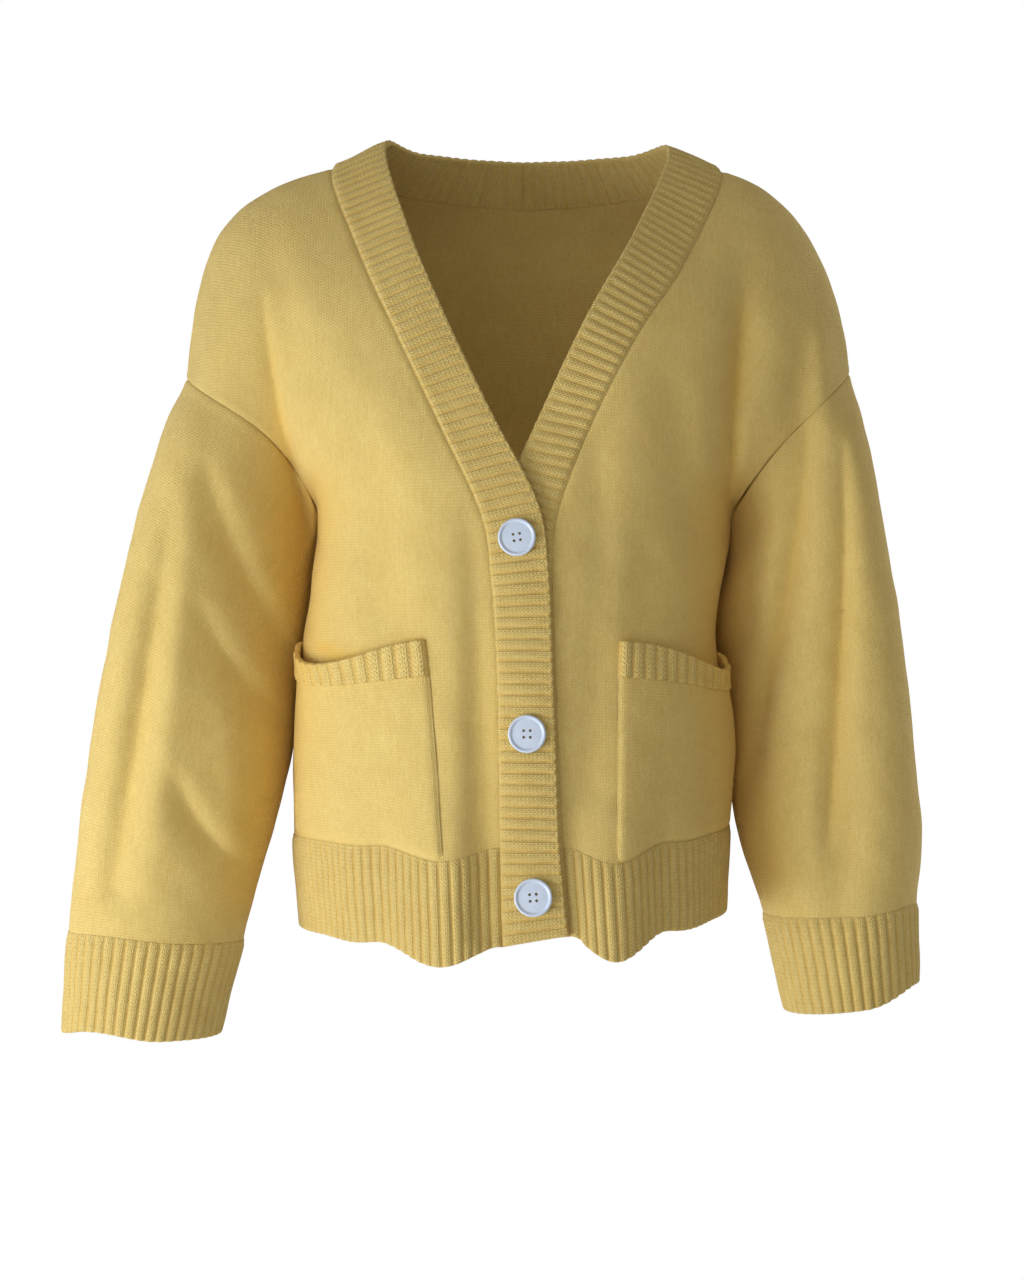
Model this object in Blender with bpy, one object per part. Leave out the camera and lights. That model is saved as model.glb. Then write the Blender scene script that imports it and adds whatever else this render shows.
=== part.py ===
"""A button cardigan in the hollow form it has when it is worn.

Every piece that a maker knits, cuts and sews is one closed wall of cloth. A wall starts as a flat grid, is extruded
to a slab with an outer and an inner layer, and is then bent onto the garment's surfaces:

  strip()   the long front band, from the right hem up round the back neck and down to the left hem
  front()   a front panel with the hem under it, from the band's seam to the side seam and the armhole
  back()    the back panel with the hem under it
  sleeve()  a sleeve with its cuff, from the armhole ring to the wrist

Axes: +X is the wearer's left, -Y the front and +Z up. The origin lies between the shoulder points.
Tables are in millimetres; everything built from them is in metres.

Levels count up the body: -1 hem edge, 0 hem seam, 1 and 2 pocket, 3 waist, 4 armpit, 5 to 7 armhole, 8 shoulder.
"""

from math import cos, exp, log, pi, radians, sin

import bmesh
import bpy
from mathutils import Matrix, Vector

MM = 0.001

# Driving sizes, in metres
CLOTH = 0.0026  # thickness of the stockinette
RIB_CLOTH = 0.0028  # thickness of the ribbing under its ribs
RIB_HEIGHT = 0.0013
SEAM_GAP = 0.0003
MITRE = 0.12  # share of a panel over which its edge turns to its neighbour's direction

HEM_EDGE, HEM_SEAM, ARMPIT, SHOULDER = -1, 0, 4, 8

# About how long the pieces are in the directions in which their edges are moved apart
LEVEL_HEIGHT = 0.075  # of one level at the hem
FRONT_GIRTH = 0.23
HALF_BACK = 0.25
SLEEVE_LENGTH = 0.45
POCKET_HEIGHT = 0.16
NECK_STATION_LENGTH = 0.1  # of the band between two stations at the back neck

RIBS = {"band": 104, "hem_front": 30, "hem_back": 60, "cuff": 38, "pocket": 14}
SIDES = {"right": -1, "left": 1}

# Cells of the plain pieces. Pieces meet on the corners of these cells, so that their faceted edges run side by side.
FRONT_CELLS = 12
NECK_CELLS = 6  # of the back's cells on each side, those along the neck seam
BACK_CELLS = NECK_CELLS + FRONT_CELLS
PANEL_ROWS = 20
HEM_ROWS = 2
SLEEVE_CELLS = 20
SLEEVE_ROWS = 13
POCKET_ROWS = 6

# The band: one row for each station of the strip, right hem to left hem. Seam edge, then free edge.
STRIP = (
    # station, seam x, y, z, free x, y, z
    (0, -8, -152, -616, 40, -153, -608),
    (1, -10, -146, -545, 34, -148, -545),
    (2, -11, -142, -470, 31, -144, -470),
    (3, -13, -140, -400, 28.5, -142, -400),
    (4, -17, -137, -345, 26, -139, -341),
    (5, -24, -134, -300, 18, -137, -291),
    (6, -53, -126, -237, -15, -128, -226),
    (7, -86, -105, -167, -50, -107, -151),
    (8, -119, -64, -94, -80, -66, -77),
    (9, -143, 0, -20, -101, 2, 0),
    (10, -95, 62, -28, -72, 40, 0),
    (11, 8, 84, -36, 8, 58, -3),
    (12, 113, 62, -30, 91, 40, -2),
    (13, 165, 0, -22, 123, 2, -4),
    (14, 131, -72, -105, 93, -70, -80),
    (15, 92, -111, -167, 56, -109, -148),
    (16, 56, -124, -238, 18, -122, -229),
    (17, 33, -129.5, -300, -8, -129, -291),
    (18, 29, -132.5, -345, -13, -132, -347),
    (19, 30.5, -135.5, -400, -11, -135, -400),
    (20, 33, -137.5, -470, -9, -137, -470),
    (21, 37, -141, -545, -6, -141, -545),
    (22, 42, -147, -609, -3, -147, -613),
)
STATIONS = STRIP[-1][0]
NECK_STATION = 11
SHOULDER_STATION = {"right": 9, "left": 13}

# Side seams: x and z at each level from the hem edge to the armpit, at y 0.
SIDE_SEAM = {
    "right": (
        (-1, -167, -617),
        (0, -172, -545),
        (1, -172, -470),
        (2, -165, -402),
        (3, -156, -350),
        (3.5, -153.5, -321),
        (4, -152, -293),
    ),
    "left": (
        (-1, 166, -604),
        (0, 168, -538),
        (1, 170, -466),
        (2, 158, -400),
        (3, 153, -354),
        (3.5, 164, -323),
        (4, 171, -294),
    ),
}

# A front's rows: how far it runs straight from the band and from the side, and in which directions.
FRONT_ROWS = (
    # level, reach, x outward, y, z, reach, x outward, y, z
    (-1, 78, 1, 0, 0, 66, 0.05, -1, 0),
    (0, 80, 1, 0, 0, 66, 0.06, -1, 0),
    (1, 80, 1, 0, 0, 66, 0.07, -1, 0),
    (2, 80, 1, 0, 0, 66, 0.15, -1, 0),
    (3, 80, 1, 0, 0, 68, 0.22, -1, 0),
    (4, 76, 1, 0, -0.02, 74, 0.15, -1, 0),
    (5, 60, 1, -0.02, -0.06, 50, -0.35, -0.85, 0.3),
    (6, 55, 0.98, 0.05, -0.15, 45, -0.6, -0.15, 0.75),
    (7, 60, 0.97, -0.1, -0.2, 70, -0.2, -0.15, 0.97),
    (8, 75, 0.97, 0, -0.24, 95, -0.09, 0, 0.99),
)
SHOULDER_REACH = {"right": (96, 108), "left": (64, 82)}  # worn a little askew, the shoulders differ

# The back's rows: the middle of the back, then the same reaches as on a front.
BACK_ROWS = (
    # level, y, z, reach, reach, x outward, y, z
    (-1, 124, -612, 105, 82, 0, 1, 0),
    (0, 129, -542, 105, 84, 0, 1, 0),
    (1, 129, -468, 105, 84, 0, 1, 0),
    (2, 127, -400, 103, 84, 0, 1, 0),
    (3, 124, -345, 100, 82, 0, 1, 0),
    (4, 121, -292, 95, 78, 0, 1, 0),
    (5, 118, -235, 95, 50, -0.35, 0.85, 0.3),
    (6, 113, -170, 100, 50, -0.5, 0.3, 0.8),
    (7, 103, -100, 95, 70, -0.2, 0.15, 0.97),
)
BACK_MIDDLE = 2 * MM  # x of the middle of the back
NECK_SHARE = NECK_CELLS / BACK_CELLS  # share of the back's top edge that the band takes
FRONT_CROSSING = (95, 25)  # how far a panel runs on level, and up, where it meets its neighbour at the top
BACK_CROSSING = (150, 30)
NECK_CROSSING = (60, 65)

# Sleeves: outer and inner edge seen from the front, middle and half depth from front to back.
SLEEVE = {
    "right": (
        # share, outer x, z, inner x, z, middle y, half depth, how far the inner edge lies behind the outer one
        (0.00, -257, -187, -152, -293, 0, 63, 0),
        (0.10, -272, -228, -156.5, -326, -4, 64, 36),
        (0.22, -289, -289, -161.5, -370, -9, 64, 50),
        (0.36, -303, -352, -170, -421, -14, 63, 56),
        (0.50, -316, -415, -177, -474, -18, 61, 50),
        (0.64, -328, -479, -187, -524, -21, 60, 30),
        (0.76, -337, -541, -196, -568, -24, 58, 16),
        (0.88, -345, -618, -211, -626, -27, 55, 6),
        (1.00, -349, -696, -229, -698, -29, 53, 0),
    ),
    "left": (
        (0.00, 265, -183, 171, -294, 0, 63, 0),
        (0.10, 275, -232, 169, -326, -4, 64, 40),
        (0.22, 284, -292, 158, -371, -9, 64, 68),
        (0.36, 294, -356, 166, -422, -14, 63, 68),
        (0.50, 303, -420, 175, -473, -18, 61, 60),
        (0.64, 310, -484, 177, -520, -21, 60, 46),
        (0.76, 316, -540, 181, -560, -24, 58, 30),
        (0.88, 313, -600, 196, -606, -27, 55, 12),
        (1.00, 314, -667, 212, -680, -29, 53, 0),
    ),
}
ARMHOLE_BOW = {"right": 16, "left": 8}  # how far the armhole's front and back rise above its straight line
ARMHOLE_BOW_END = 0.3  # share of the sleeve at which the bow has faded
CUFF_SHARE = 0.88
UNDERARM_GAP = 0.005  # share by which a sleeve starts lower under the arm, where it turns back on the panels
CUFF_WAVES = {
    # side: place around, half width, how far the cuff's edge is drawn up
    "right": (0.33, 0.14, 6),
    "left": (0.43, 0.17, 11),
}

# Waves of the hem: where it stands forward and hangs lower.
HEM_WAVES = {
    # side: ((x of the middle, half width, forward, down), ...)
    "right": ((-54, 48, 14, 14), (-120, 26, 4, 2)),
    "left": ((76, 40, 14, 18), (130, 24, 4, 2)),
}
HEM_WAVE_START = 14  # distance from the band over which they begin
HEM_WAVE_TOP = 1.6  # level where the waves die out

# The largest folds of the cloth, seen from the front: a bent line, how soft the cloth turns on the left and on the
# right of one who walks along it, and how far it stands out at its start, middle and end.
FOLDS = (
    # face, x, z, x, z, x, z, left, right, outward, outward, outward
    # between chest and arm
    (-1, -190, -110, -180, -232, -158, -312, 17, 22, -4, -14, -20),
    (-1, 176, -110, 179, -240, 177, -312, 24, 17, -4, -14, -20),
    # the wearer's right sleeve
    (-1, -250, -205, -262, -330, -286, -560, 20, 18, 2, 5, 3),
    (-1, -276, -320, -298, -440, -312, -580, 16, 16, -2, -6, -3),
    (-1, -238, -262, -216, -335, -180, -432, 16, 17, -3, -8, -8),
    (-1, -256, -462, -246, -515, -222, -548, 16, 16, -2, -5, -2),
    # the wearer's left sleeve
    (-1, 258, -238, 253, -360, 243, -545, 16, 16, -2, -6, -3),
    (-1, 226, -215, 222, -310, 197, -440, 16, 17, -3, -7, -4),
    # back
    (1, -160, -110, -174, -200, -160, -322, 20, 17, -3, -12, -16),
    (1, 172, -110, 180, -200, 178, -322, 17, 20, -3, -12, -16),
    (1, -60, -90, -95, -180, -100, -300, 22, 22, -2, -6, -3),
    (1, 66, -90, 92, -190, 86, -300, 22, 22, -2, -5, -3),
    (1, -20, -330, -8, -420, -24, -520, 20, 20, -1, -5, -3),
    (1, 70, -380, 84, -450, 76, -530, 20, 20, -2, -5, -3),
    (1, -240, -260, -262, -400, -290, -560, 17, 17, -2, -6, -4),
    (1, 236, -260, 252, -380, 262, -540, 17, 17, -3, -6, -3),
)
FOLD_STEPS = 12  # parts in which a fold's line is measured
FOLD_FADE = 0.04  # distance in front of or behind the side seams within which folds fade

# Pockets, as shares of a front's row and levels of the front.
POCKETS = {
    # side: (level, share) of the lower inner, lower outer, upper inner and upper outer corner
    "right": ((0.02, 0.17), (0.02, 0.83), (2.13, 0.215), (2.15, 0.88)),
    "left": ((0.02, 0.17), (0.02, 0.82), (2.11, 0.215), (1.97, 0.85)),
}
POCKET_SAG = {"right": (0.30, 0.62), "left": (0.28, 0.76)}  # levels that the mouth dips, and how far across
POCKET_STAND = 0.0012  # how far the pocket stands off the front all over
POCKET_MOUTH = 0.0085  # and how much further it stands open at the top
POCKET_RIB_SHARE = 0.80  # share of the height at which the ribbed top starts

# Buttons
BUTTON_STATIONS = {"button_top": 4.55, "button_middle": 2.12, "button_bottom": 0.48}
BUTTON_ACROSS = 0.52  # share of the band's width at which they sit
BUTTON_PROFILE = (
    # radius and height of the turned outline, in millimetres, from the axis over the face to the back
    (0.0, 2.0),
    (10.8, 2.0),
    (12.6, 3.2),
    (14.0, 2.0),
    (12.6, 0.3),
    (0.0, 0.0),
)
BUTTON_STEPS = 18
BUTTON_HOLE = (3.4 * MM, 1.05 * MM)  # distance from the axis, radius
DRILL_LENGTH = 12 * MM


def mm(x, y, z):
    """A point given in millimetres."""
    return Vector((x, y, z)) * MM


def smooth(rows, key):
    """The columns of a table at a key between its rows, on one smooth curve."""
    key = min(max(key, rows[0][0]), rows[-1][0])
    last = len(rows) - 1
    low = max(i for i in range(last) if rows[i][0] <= key)

    def slope(i, column):
        a, b = rows[max(i - 1, 0)], rows[min(i + 1, last)]
        return (b[column] - a[column]) / (b[0] - a[0])

    span = rows[low + 1][0] - rows[low][0]
    s = (key - rows[low][0]) / span
    columns = range(1, len(rows[0]))
    return [
        hermite(s, rows[low][c], rows[low + 1][c], slope(low, c) * span, slope(low + 1, c) * span) for c in columns
    ]


def hermite(s, start, end, leave, arrive):
    """A point on the curve from start to end that leaves and arrives with the given slopes."""
    return (
        start * (2 * s**3 - 3 * s**2 + 1)
        + leave * (s**3 - 2 * s**2 + s)
        + end * (3 * s**2 - 2 * s**3)
        + arrive * (s**3 - s**2)
    )


def bezier(s, a, b, c, d):
    r = 1 - s
    return a * r**3 + b * (3 * r * r * s) + c * (3 * r * s * s) + d * s**3


def ease(x, low, high):
    """0 below low, 1 above high and a smooth step between."""
    x = min(max((x - low) / (high - low), 0.0), 1.0)
    return x * x * (3 - 2 * x)


# ---------------------------------------------------------------- surfaces


def fold_lines():
    """Each fold's points, directions and places along it, with its face, softness and heights."""
    lines = []
    for face, *line, left, right, start, middle, end in FOLDS:
        a, b, c = (Vector(line[i : i + 2]) * MM for i in (0, 2, 4))
        path = []
        for step in range(FOLD_STEPS + 1):
            t = step / FOLD_STEPS
            place = a * (1 - t) ** 2 + b * (2 * t * (1 - t)) + c * t**2
            ahead = ((b - a) * (1 - t) + (c - b) * t).normalized()
            path.append((place, ahead, t))
        lines.append((face, path, left * MM, right * MM, (start * MM, middle * MM, end * MM)))
    return lines


def folded(p):
    """A point moved out or in by the folds of the cloth."""
    showing = ease(abs(p.y), 0, FOLD_FADE)
    seen = Vector((p.x, p.z))
    outward = 0.0
    for face, path, left, right, (start, middle, end) in LINES:
        if not showing or face * p.y < 0:
            continue
        place, ahead, t = min(path, key=lambda spot: (spot[0] - seen).length_squared)
        t = min(max(t + (seen - place).dot(ahead) / (path[-1][0] - path[0][0]).length, 0), 1)
        low = min(int(t * FOLD_STEPS), FOLD_STEPS - 1)
        place = path[low][0].lerp(path[low + 1][0], t * FOLD_STEPS - low)
        offset = seen - place
        to_left = (ahead.x * offset.y - ahead.y * offset.x) / max(offset.length, 1e-9)
        width = (left + right + (left - right) * to_left) / 2
        height = start * (1 - t) * (1 - 2 * t) + middle * 4 * t * (1 - t) + end * t * (2 * t - 1)
        outward += face * height * exp(-offset.length_squared / width**2)
    return p + Vector((0, outward * showing, 0))


def strip_knots():
    """The stations at which the corners of the panels' cells meet the band."""
    hem = [i / HEM_ROWS for i in range(HEM_ROWS)]
    panel = [1 + SHOULDER * i / PANEL_ROWS for i in range(PANEL_ROWS)]
    neck = [SHOULDER + 1 + 2 * i / NECK_CELLS for i in range(NECK_CELLS + 1)]
    half = hem + panel + neck
    return half + [STATIONS - station for station in reversed(half[:-1])]


def on_chords(value, knots, key):
    """A value that runs straight between its places at the knots."""
    key = min(max(key, knots[0]), knots[-1])
    low = max(i for i in range(len(knots) - 1) if knots[i] <= key)
    share = (key - knots[low]) / (knots[low + 1] - knots[low])
    return value(knots[low]).lerp(value(knots[low + 1]), share)


def strip(station, across):
    """The band's outer surface: across is 0 on the seam and 1 on the free edge."""

    def cross_section(knot):
        p = smooth(STRIP, knot)
        return mm(*p[:3]).lerp(mm(*p[3:]), across)

    return on_chords(cross_section, KNOTS, station)


def strip_facing(station):
    """The direction that the band's outer side faces at a station."""
    step = 0.05

    def direction(knot):
        ahead, behind = smooth(STRIP, knot + step), smooth(STRIP, knot - step)
        here = smooth(STRIP, knot)
        along = mm(*ahead[:3]) + mm(*ahead[3:]) - mm(*behind[:3]) - mm(*behind[3:])
        over = mm(*here[3:]) - mm(*here[:3])
        return over.cross(along).normalized()

    return on_chords(direction, KNOTS, station).normalized()


def station_of(side, level):
    """The band's station beside a front's level."""
    return level + 1 if side == "right" else STATIONS - 1 - level


def band_seam(side, level):
    """The point of the band's seam at a front's level."""
    return strip(station_of(side, level), 0)


def armhole(side, turn, face):
    """A point of the armhole ring: turn is 0 at the armpit and 1 at the shoulder; face -1 front, 1 back."""
    return sleeve_form(side, turn / 2 if face < 0 else 1 - turn / 2, 0)


def sleeve_form(side, around, share):
    """A sleeve's outer surface without folds: around is 0 underarm, 0.25 front, 0.5 outside, 0.75 back."""
    outer_x, outer_z, inner_x, inner_z, middle_y, depth, behind = smooth(SLEEVE[side], share)
    angle = 2 * pi * around
    across = cos(angle) / 2
    place, half, drawn = CUFF_WAVES[side]
    up = drawn * ease(share, CUFF_SHARE - 0.1, 1) * max(0, cos(min(abs(around - place) / half, 1) * pi / 2)) ** 2
    up += ARMHOLE_BOW[side] * (1 - ease(share, 0, ARMHOLE_BOW_END)) * (1 + cos(angle)) * sin(angle) ** 2
    return mm(
        (outer_x + inner_x) / 2 - (outer_x - inner_x) * across,
        middle_y - depth * sin(angle) + behind * across,
        (outer_z + inner_z) / 2 - (outer_z - inner_z) * across + up,
    )


def sleeve(side, around, share):
    """A sleeve's outer surface, with its folds."""
    return folded(sleeve_form(side, around, share))


def side_edge(side, level, face):
    """Where a panel's row ends: on the side seam, or on the armhole above the armpit."""
    if level <= ARMPIT:
        x, z = smooth(SIDE_SEAM[side], level)
        return mm(x, 0, z)
    return armhole(side, (level - ARMPIT) / (SHOULDER - ARMPIT), face)


def shoulder_row(side, share):
    """The shoulder seam, from the neck point to the top of the armhole."""
    x, y, z, _, end_x, end_y, end_z = FRONT_ROWS[-1][2:]
    reach, end_reach = SHOULDER_REACH[side]
    sign = SIDES[side]
    a, d = band_seam(side, SHOULDER), side_edge(side, SHOULDER, -1)
    return bezier(share, a, a + mm(sign * x, y, z) * reach, d + mm(sign * end_x, end_y, end_z) * end_reach, d)


def front_row(side, index, share):
    """A point of one of a front's rows."""
    if index == len(FRONT_ROWS) - 1:
        return shoulder_row(side, share)
    level, reach, x, y, z, end_reach, end_x, end_y, end_z = FRONT_ROWS[index]
    sign = SIDES[side]
    a, d = band_seam(side, level), side_edge(side, level, -1)
    return bezier(share, a, a + mm(sign * x, y, z) * reach, d + mm(sign * end_x, end_y, end_z) * end_reach, d)


def back_row(side, index, share):
    """A point of one of the back's rows, on one side."""
    if index == len(BACK_ROWS):
        if share > NECK_SHARE:
            return shoulder_row(side, (share - NECK_SHARE) / (1 - NECK_SHARE))
        return strip(NECK_STATION + (SHOULDER_STATION[side] - NECK_STATION) * share / NECK_SHARE, 0)
    level, y, z, reach, end_reach, end_x, end_y, end_z = BACK_ROWS[index]
    sign = SIDES[side]
    a, d = Vector((BACK_MIDDLE, y * MM, z * MM)), side_edge(side, level, 1)
    return bezier(share, a, a + mm(sign, 0, 0) * reach, d + mm(sign * end_x, end_y, end_z) * end_reach, d)


def between_rows(row, level, arrive):
    """A point between two rows of a panel; arrive is the slope at the top row."""
    place = min(max(level - HEM_EDGE, 0), SHOULDER - HEM_EDGE)
    top = SHOULDER - HEM_EDGE
    low = min(int(place), top - 1)

    def slope(i):
        if i == top:
            return arrive
        return (row(i + 1) - row(max(i - 1, 0))) / (i + 1 - max(i - 1, 0))

    return hermite(place - low, row(low), row(low + 1), slope(low), slope(low + 1))


def front_form(side, share, level):
    """A front's outer surface without folds: share is 0 at the band and 1 at the side."""

    def plain(u):
        arrive = mm(0, *FRONT_CROSSING)
        return between_rows(lambda i: front_row(side, i, u), level, arrive)

    p = plain(share)
    p += (band_seam(side, level) - plain(0)) * max(0, 1 - 2 * share) ** 2
    p += (side_edge(side, level, -1) - plain(1)) * max(0, 2 * share - 1) ** 2
    waving = 1 - ease(level, HEM_EDGE, HEM_WAVE_TOP)
    waving *= ease(abs(p.x - band_seam(side, level).x) / MM, 0, HEM_WAVE_START)
    for middle, half, forward, down in HEM_WAVES[side]:
        swell = waving * max(0, cos(min(abs(p.x / MM - middle) / half, 1) * pi / 2)) ** 2
        p += mm(0, -forward, -down) * swell
    return p


def front(side, share, level):
    """A front's outer surface, with its folds."""
    return folded(front_form(side, share, level))


def back_form(share, level):
    """The back's outer surface without folds: share runs from -1 at the right side to 1 at the left."""
    side = "right" if share < 0 else "left"
    share = abs(share)
    flat, rise = Vector(BACK_CROSSING).lerp(Vector(NECK_CROSSING), 1 - ease(share, 0, NECK_SHARE * 1.2))

    def plain(u):
        return between_rows(lambda i: back_row(side, i, u), level, mm(0, -flat, rise))

    return plain(share) + (side_edge(side, level, 1) - plain(1)) * max(0, 2 * share - 1) ** 2


def back(share, level):
    """The back's outer surface, with its folds."""
    return folded(back_form(share, level))


def facing(surface, u, v, u_range, v_range):
    """The outward direction of a surface whose u x v runs outward, by small steps kept inside its ranges."""
    step_u, step_v = (u_range[1] - u_range[0]) * 1e-3, (v_range[1] - v_range[0]) * 1e-3
    du = surface(min(u + step_u, u_range[1]), v) - surface(max(u - step_u, u_range[0]), v)
    dv = surface(u, min(v + step_v, v_range[1])) - surface(u, max(v - step_v, v_range[0]))
    return du.cross(dv).normalized()


def seam_facing(side, level):
    """The shared direction of the two panels at a side seam or a shoulder seam's end: it has no front or back."""
    step = 0.02
    along = side_edge(side, min(level + step, ARMPIT), -1) - side_edge(side, max(level - step, HEM_EDGE), -1)
    return Vector((along.z, 0, -along.x)).normalized() * SIDES[side]


def shoulder_facing(side, share):
    """The shared direction of front and back at the shoulder seam."""
    step = 0.01
    along = shoulder_row(side, min(share + step, 1)) - shoulder_row(side, max(share - step, 0))
    return Vector((-along.z, 0, along.x)).normalized() * SIDES[side]


def armhole_facing(side, turn, face):
    """The shared direction of panel and sleeve at the armhole."""
    around = turn / 2 if face < 0 else 1 - turn / 2
    return sleeve_facing(side, around, 0.0)


def sleeve_facing(side, around, share):
    """The outward direction of a sleeve."""

    def surface(u, v):
        return sleeve(side, u % 1, v)

    return facing(surface, around, share, (-1, 2), (0, 1)) * -SIDES[side]


def panel_facing(own, side, share, level, face):
    """A panel's outward direction, turned at its edges to that of the piece it is sewn to."""
    at_side = ease(share, 1 - MITRE, 1)
    if at_side:
        if level <= ARMPIT:
            own = own.lerp(seam_facing(side, level), at_side * (1 - ease(level, ARMPIT - 0.5, ARMPIT) * 0.5))
        else:
            turn = (level - ARMPIT) / (SHOULDER - ARMPIT)
            own = own.lerp(armhole_facing(side, turn, face), at_side * ease(turn, 0.12, 0.4))
    return own.normalized()


def front_facing(side, share, level):
    """The outward direction of a front, turned at its edges to that of its neighbours."""
    low, high = (HEM_EDGE, SHOULDER)
    own = facing(lambda u, v: front(side, u, v), share, level, (0, 1), (low, high)) * SIDES[side]
    own = panel_facing(own, side, share, level, -1)
    at_band = 1 - ease(share, 0, MITRE)
    own = own.lerp(strip_facing(station_of(side, level)), at_band)
    own = own.lerp(shoulder_facing(side, share), ease(level, SHOULDER - 0.6, SHOULDER) * ease(share, 0, MITRE))
    return own.normalized()


def back_facing(share, level):
    """The outward direction of the back, turned at its edges to that of its neighbours."""
    side = "right" if share < 0 else "left"
    own = facing(back, share, level, (-1, 1), (HEM_EDGE, SHOULDER)) * -1
    share = abs(share)
    own = panel_facing(own, side, share, level, 1)
    top = ease(level, SHOULDER - 0.6, SHOULDER)
    if share > NECK_SHARE:
        edge = shoulder_facing(side, (share - NECK_SHARE) / (1 - NECK_SHARE))
    else:
        edge = strip_facing(NECK_STATION + (SHOULDER_STATION[side] - NECK_STATION) * share / NECK_SHARE)
    return own.lerp(edge, top).normalized()


# ---------------------------------------------------------------- walls


def wall(name, surface, outward, u_range, v_range, cells, thickness, material, ribs=None, closed=False):
    """One closed wall of cloth on a surface. ribs is 'u' or 'v', the way in which ribs follow each other."""
    bm = bmesh.new()
    bmesh.ops.create_grid(bm, x_segments=cells[0], y_segments=cells[1], size=0.5)
    layer = bmesh.ops.extrude_face_region(bm, geom=bm.faces[:])["geom"]
    for vert in layer:
        if isinstance(vert, bmesh.types.BMVert):
            vert.co.z = -1
    if closed:
        ends = [f for f in bm.faces if abs(abs(f.calc_center_median().x) - 0.5) < 1e-6]
        bmesh.ops.delete(bm, geom=ends, context="FACES_ONLY")
    for vert in bm.verts:
        u_share, v_share, inner = vert.co.x + 0.5, vert.co.y + 0.5, vert.co.z < -0.5
        u = u_range[0] + (u_range[1] - u_range[0]) * u_share
        v = v_range[0] + (v_range[1] - v_range[0]) * v_share
        lift = -thickness
        if not inner:
            column = round(u_share * cells[0]) if ribs == "u" else round(v_share * cells[1])
            lift = RIB_HEIGHT if ribs and column % 2 else 0
        vert.co = surface(u, v) + outward(u, v) * lift
    if closed:
        bmesh.ops.remove_doubles(bm, verts=bm.verts[:], dist=1e-6)
    bmesh.ops.recalc_face_normals(bm, faces=bm.faces[:])
    bmesh.ops.triangulate(bm, faces=bm.faces[:])
    mesh = bpy.data.meshes.new(name)
    bm.to_mesh(mesh)
    bm.free()
    mesh.shade_smooth()
    mesh.set_sharp_from_angle(angle=radians(40))
    mesh.materials.append(material)
    piece = bpy.data.objects.new(name, mesh)
    GARMENT.objects.link(piece)
    return piece


def knit_material(name, colour, roughness):
    """A plain material of one colour."""
    material = bpy.data.materials.new(name)
    material.use_nodes = True
    shader = material.node_tree.nodes["Principled BSDF"]
    shader.inputs["Base Color"].default_value = (*colour, 1)
    shader.inputs["Roughness"].default_value = roughness
    shader.inputs["Metallic"].default_value = 0
    return material


def make_band(side):
    """Half of the front band, from a hem edge to the middle of the back neck."""
    gap = SEAM_GAP / 2 / NECK_STATION_LENGTH
    stations = (0, NECK_STATION - gap) if side == "right" else (NECK_STATION + gap, STATIONS)
    wall(
        f"band_{side}",
        lambda across, station: strip(station, across),
        lambda across, station: strip_facing(station),
        (0, 1),
        stations,
        (1, 2 * RIBS["band"]),
        RIB_CLOTH,
        RIB,
        ribs="v",
    )


def sewn_on(value, u_range, cells, v_sewn, v_free):
    """A surface or direction that runs on its neighbour's chords at the seam and smoothly further off."""
    knots = [u_range[0] + (u_range[1] - u_range[0]) * i / cells for i in range(cells + 1)]

    def settled(u, v):
        sewn = 1 - ease(abs(v - v_sewn) / abs(v_free - v_sewn), 0.1, 0.9)
        return value(u, v).lerp(on_chords(lambda knot: value(knot, v), knots, u), sewn)

    return settled


def make_panel(name, surface, outward, shares, cells, ribs):
    """A front or back panel, and the ribbed hem under it."""
    gap_up = SEAM_GAP / LEVEL_HEIGHT
    levels = (HEM_SEAM + gap_up / 2, SHOULDER - gap_up)
    wall(name, surface, outward, shares, levels, (cells, PANEL_ROWS), CLOTH, STOCKINETTE)
    hem_surface = sewn_on(surface, shares, cells, HEM_SEAM, HEM_EDGE)
    hem_outward = sewn_on(outward, shares, cells, HEM_SEAM, HEM_EDGE)
    levels = (HEM_EDGE, HEM_SEAM - gap_up / 2)
    wall(f"hem_{name}", hem_surface, hem_outward, shares, levels, (2 * ribs, HEM_ROWS), RIB_CLOTH, RIB, ribs="u")


def make_front(side):
    """A front and the hem under it."""
    gap = SEAM_GAP / FRONT_GIRTH
    make_panel(
        f"front_{side}",
        lambda share, level: front(side, share, level),
        lambda share, level: front_facing(side, share, level),
        (gap, 1 - gap),
        FRONT_CELLS,
        RIBS["hem_front"],
    )


def make_back():
    """The back and the hem under it."""
    gap = SEAM_GAP / HALF_BACK
    make_panel("back", back, back_facing, (gap - 1, 1 - gap), 2 * BACK_CELLS, RIBS["hem_back"])


def make_sleeve(side):
    """A sleeve and its cuff."""
    gap = SEAM_GAP / SLEEVE_LENGTH
    around = (0, 1)

    def surface(u, v):
        lower = UNDERARM_GAP * max(0, cos(2 * pi * u)) ** 3 * max(0, 1 - v / CUFF_SHARE)
        return sleeve(side, u % 1, v + lower)

    def outward(u, v):
        return sleeve_facing(side, u % 1, v)

    shares = (gap, CUFF_SHARE - gap / 2)
    cells = (SLEEVE_CELLS, SLEEVE_ROWS)
    wall(f"sleeve_{side}", surface, outward, around, shares, cells, CLOTH, STOCKINETTE, closed=True)
    cuff_surface = sewn_on(surface, around, SLEEVE_CELLS, CUFF_SHARE, 1)
    cuff_outward = sewn_on(outward, around, SLEEVE_CELLS, CUFF_SHARE, 1)
    shares = (CUFF_SHARE + gap / 2, 1)
    cells = (2 * RIBS["cuff"], 1)
    name = f"cuff_{side}"
    wall(name, cuff_surface, cuff_outward, around, shares, cells, RIB_CLOTH, RIB, ribs="u", closed=True)


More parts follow.
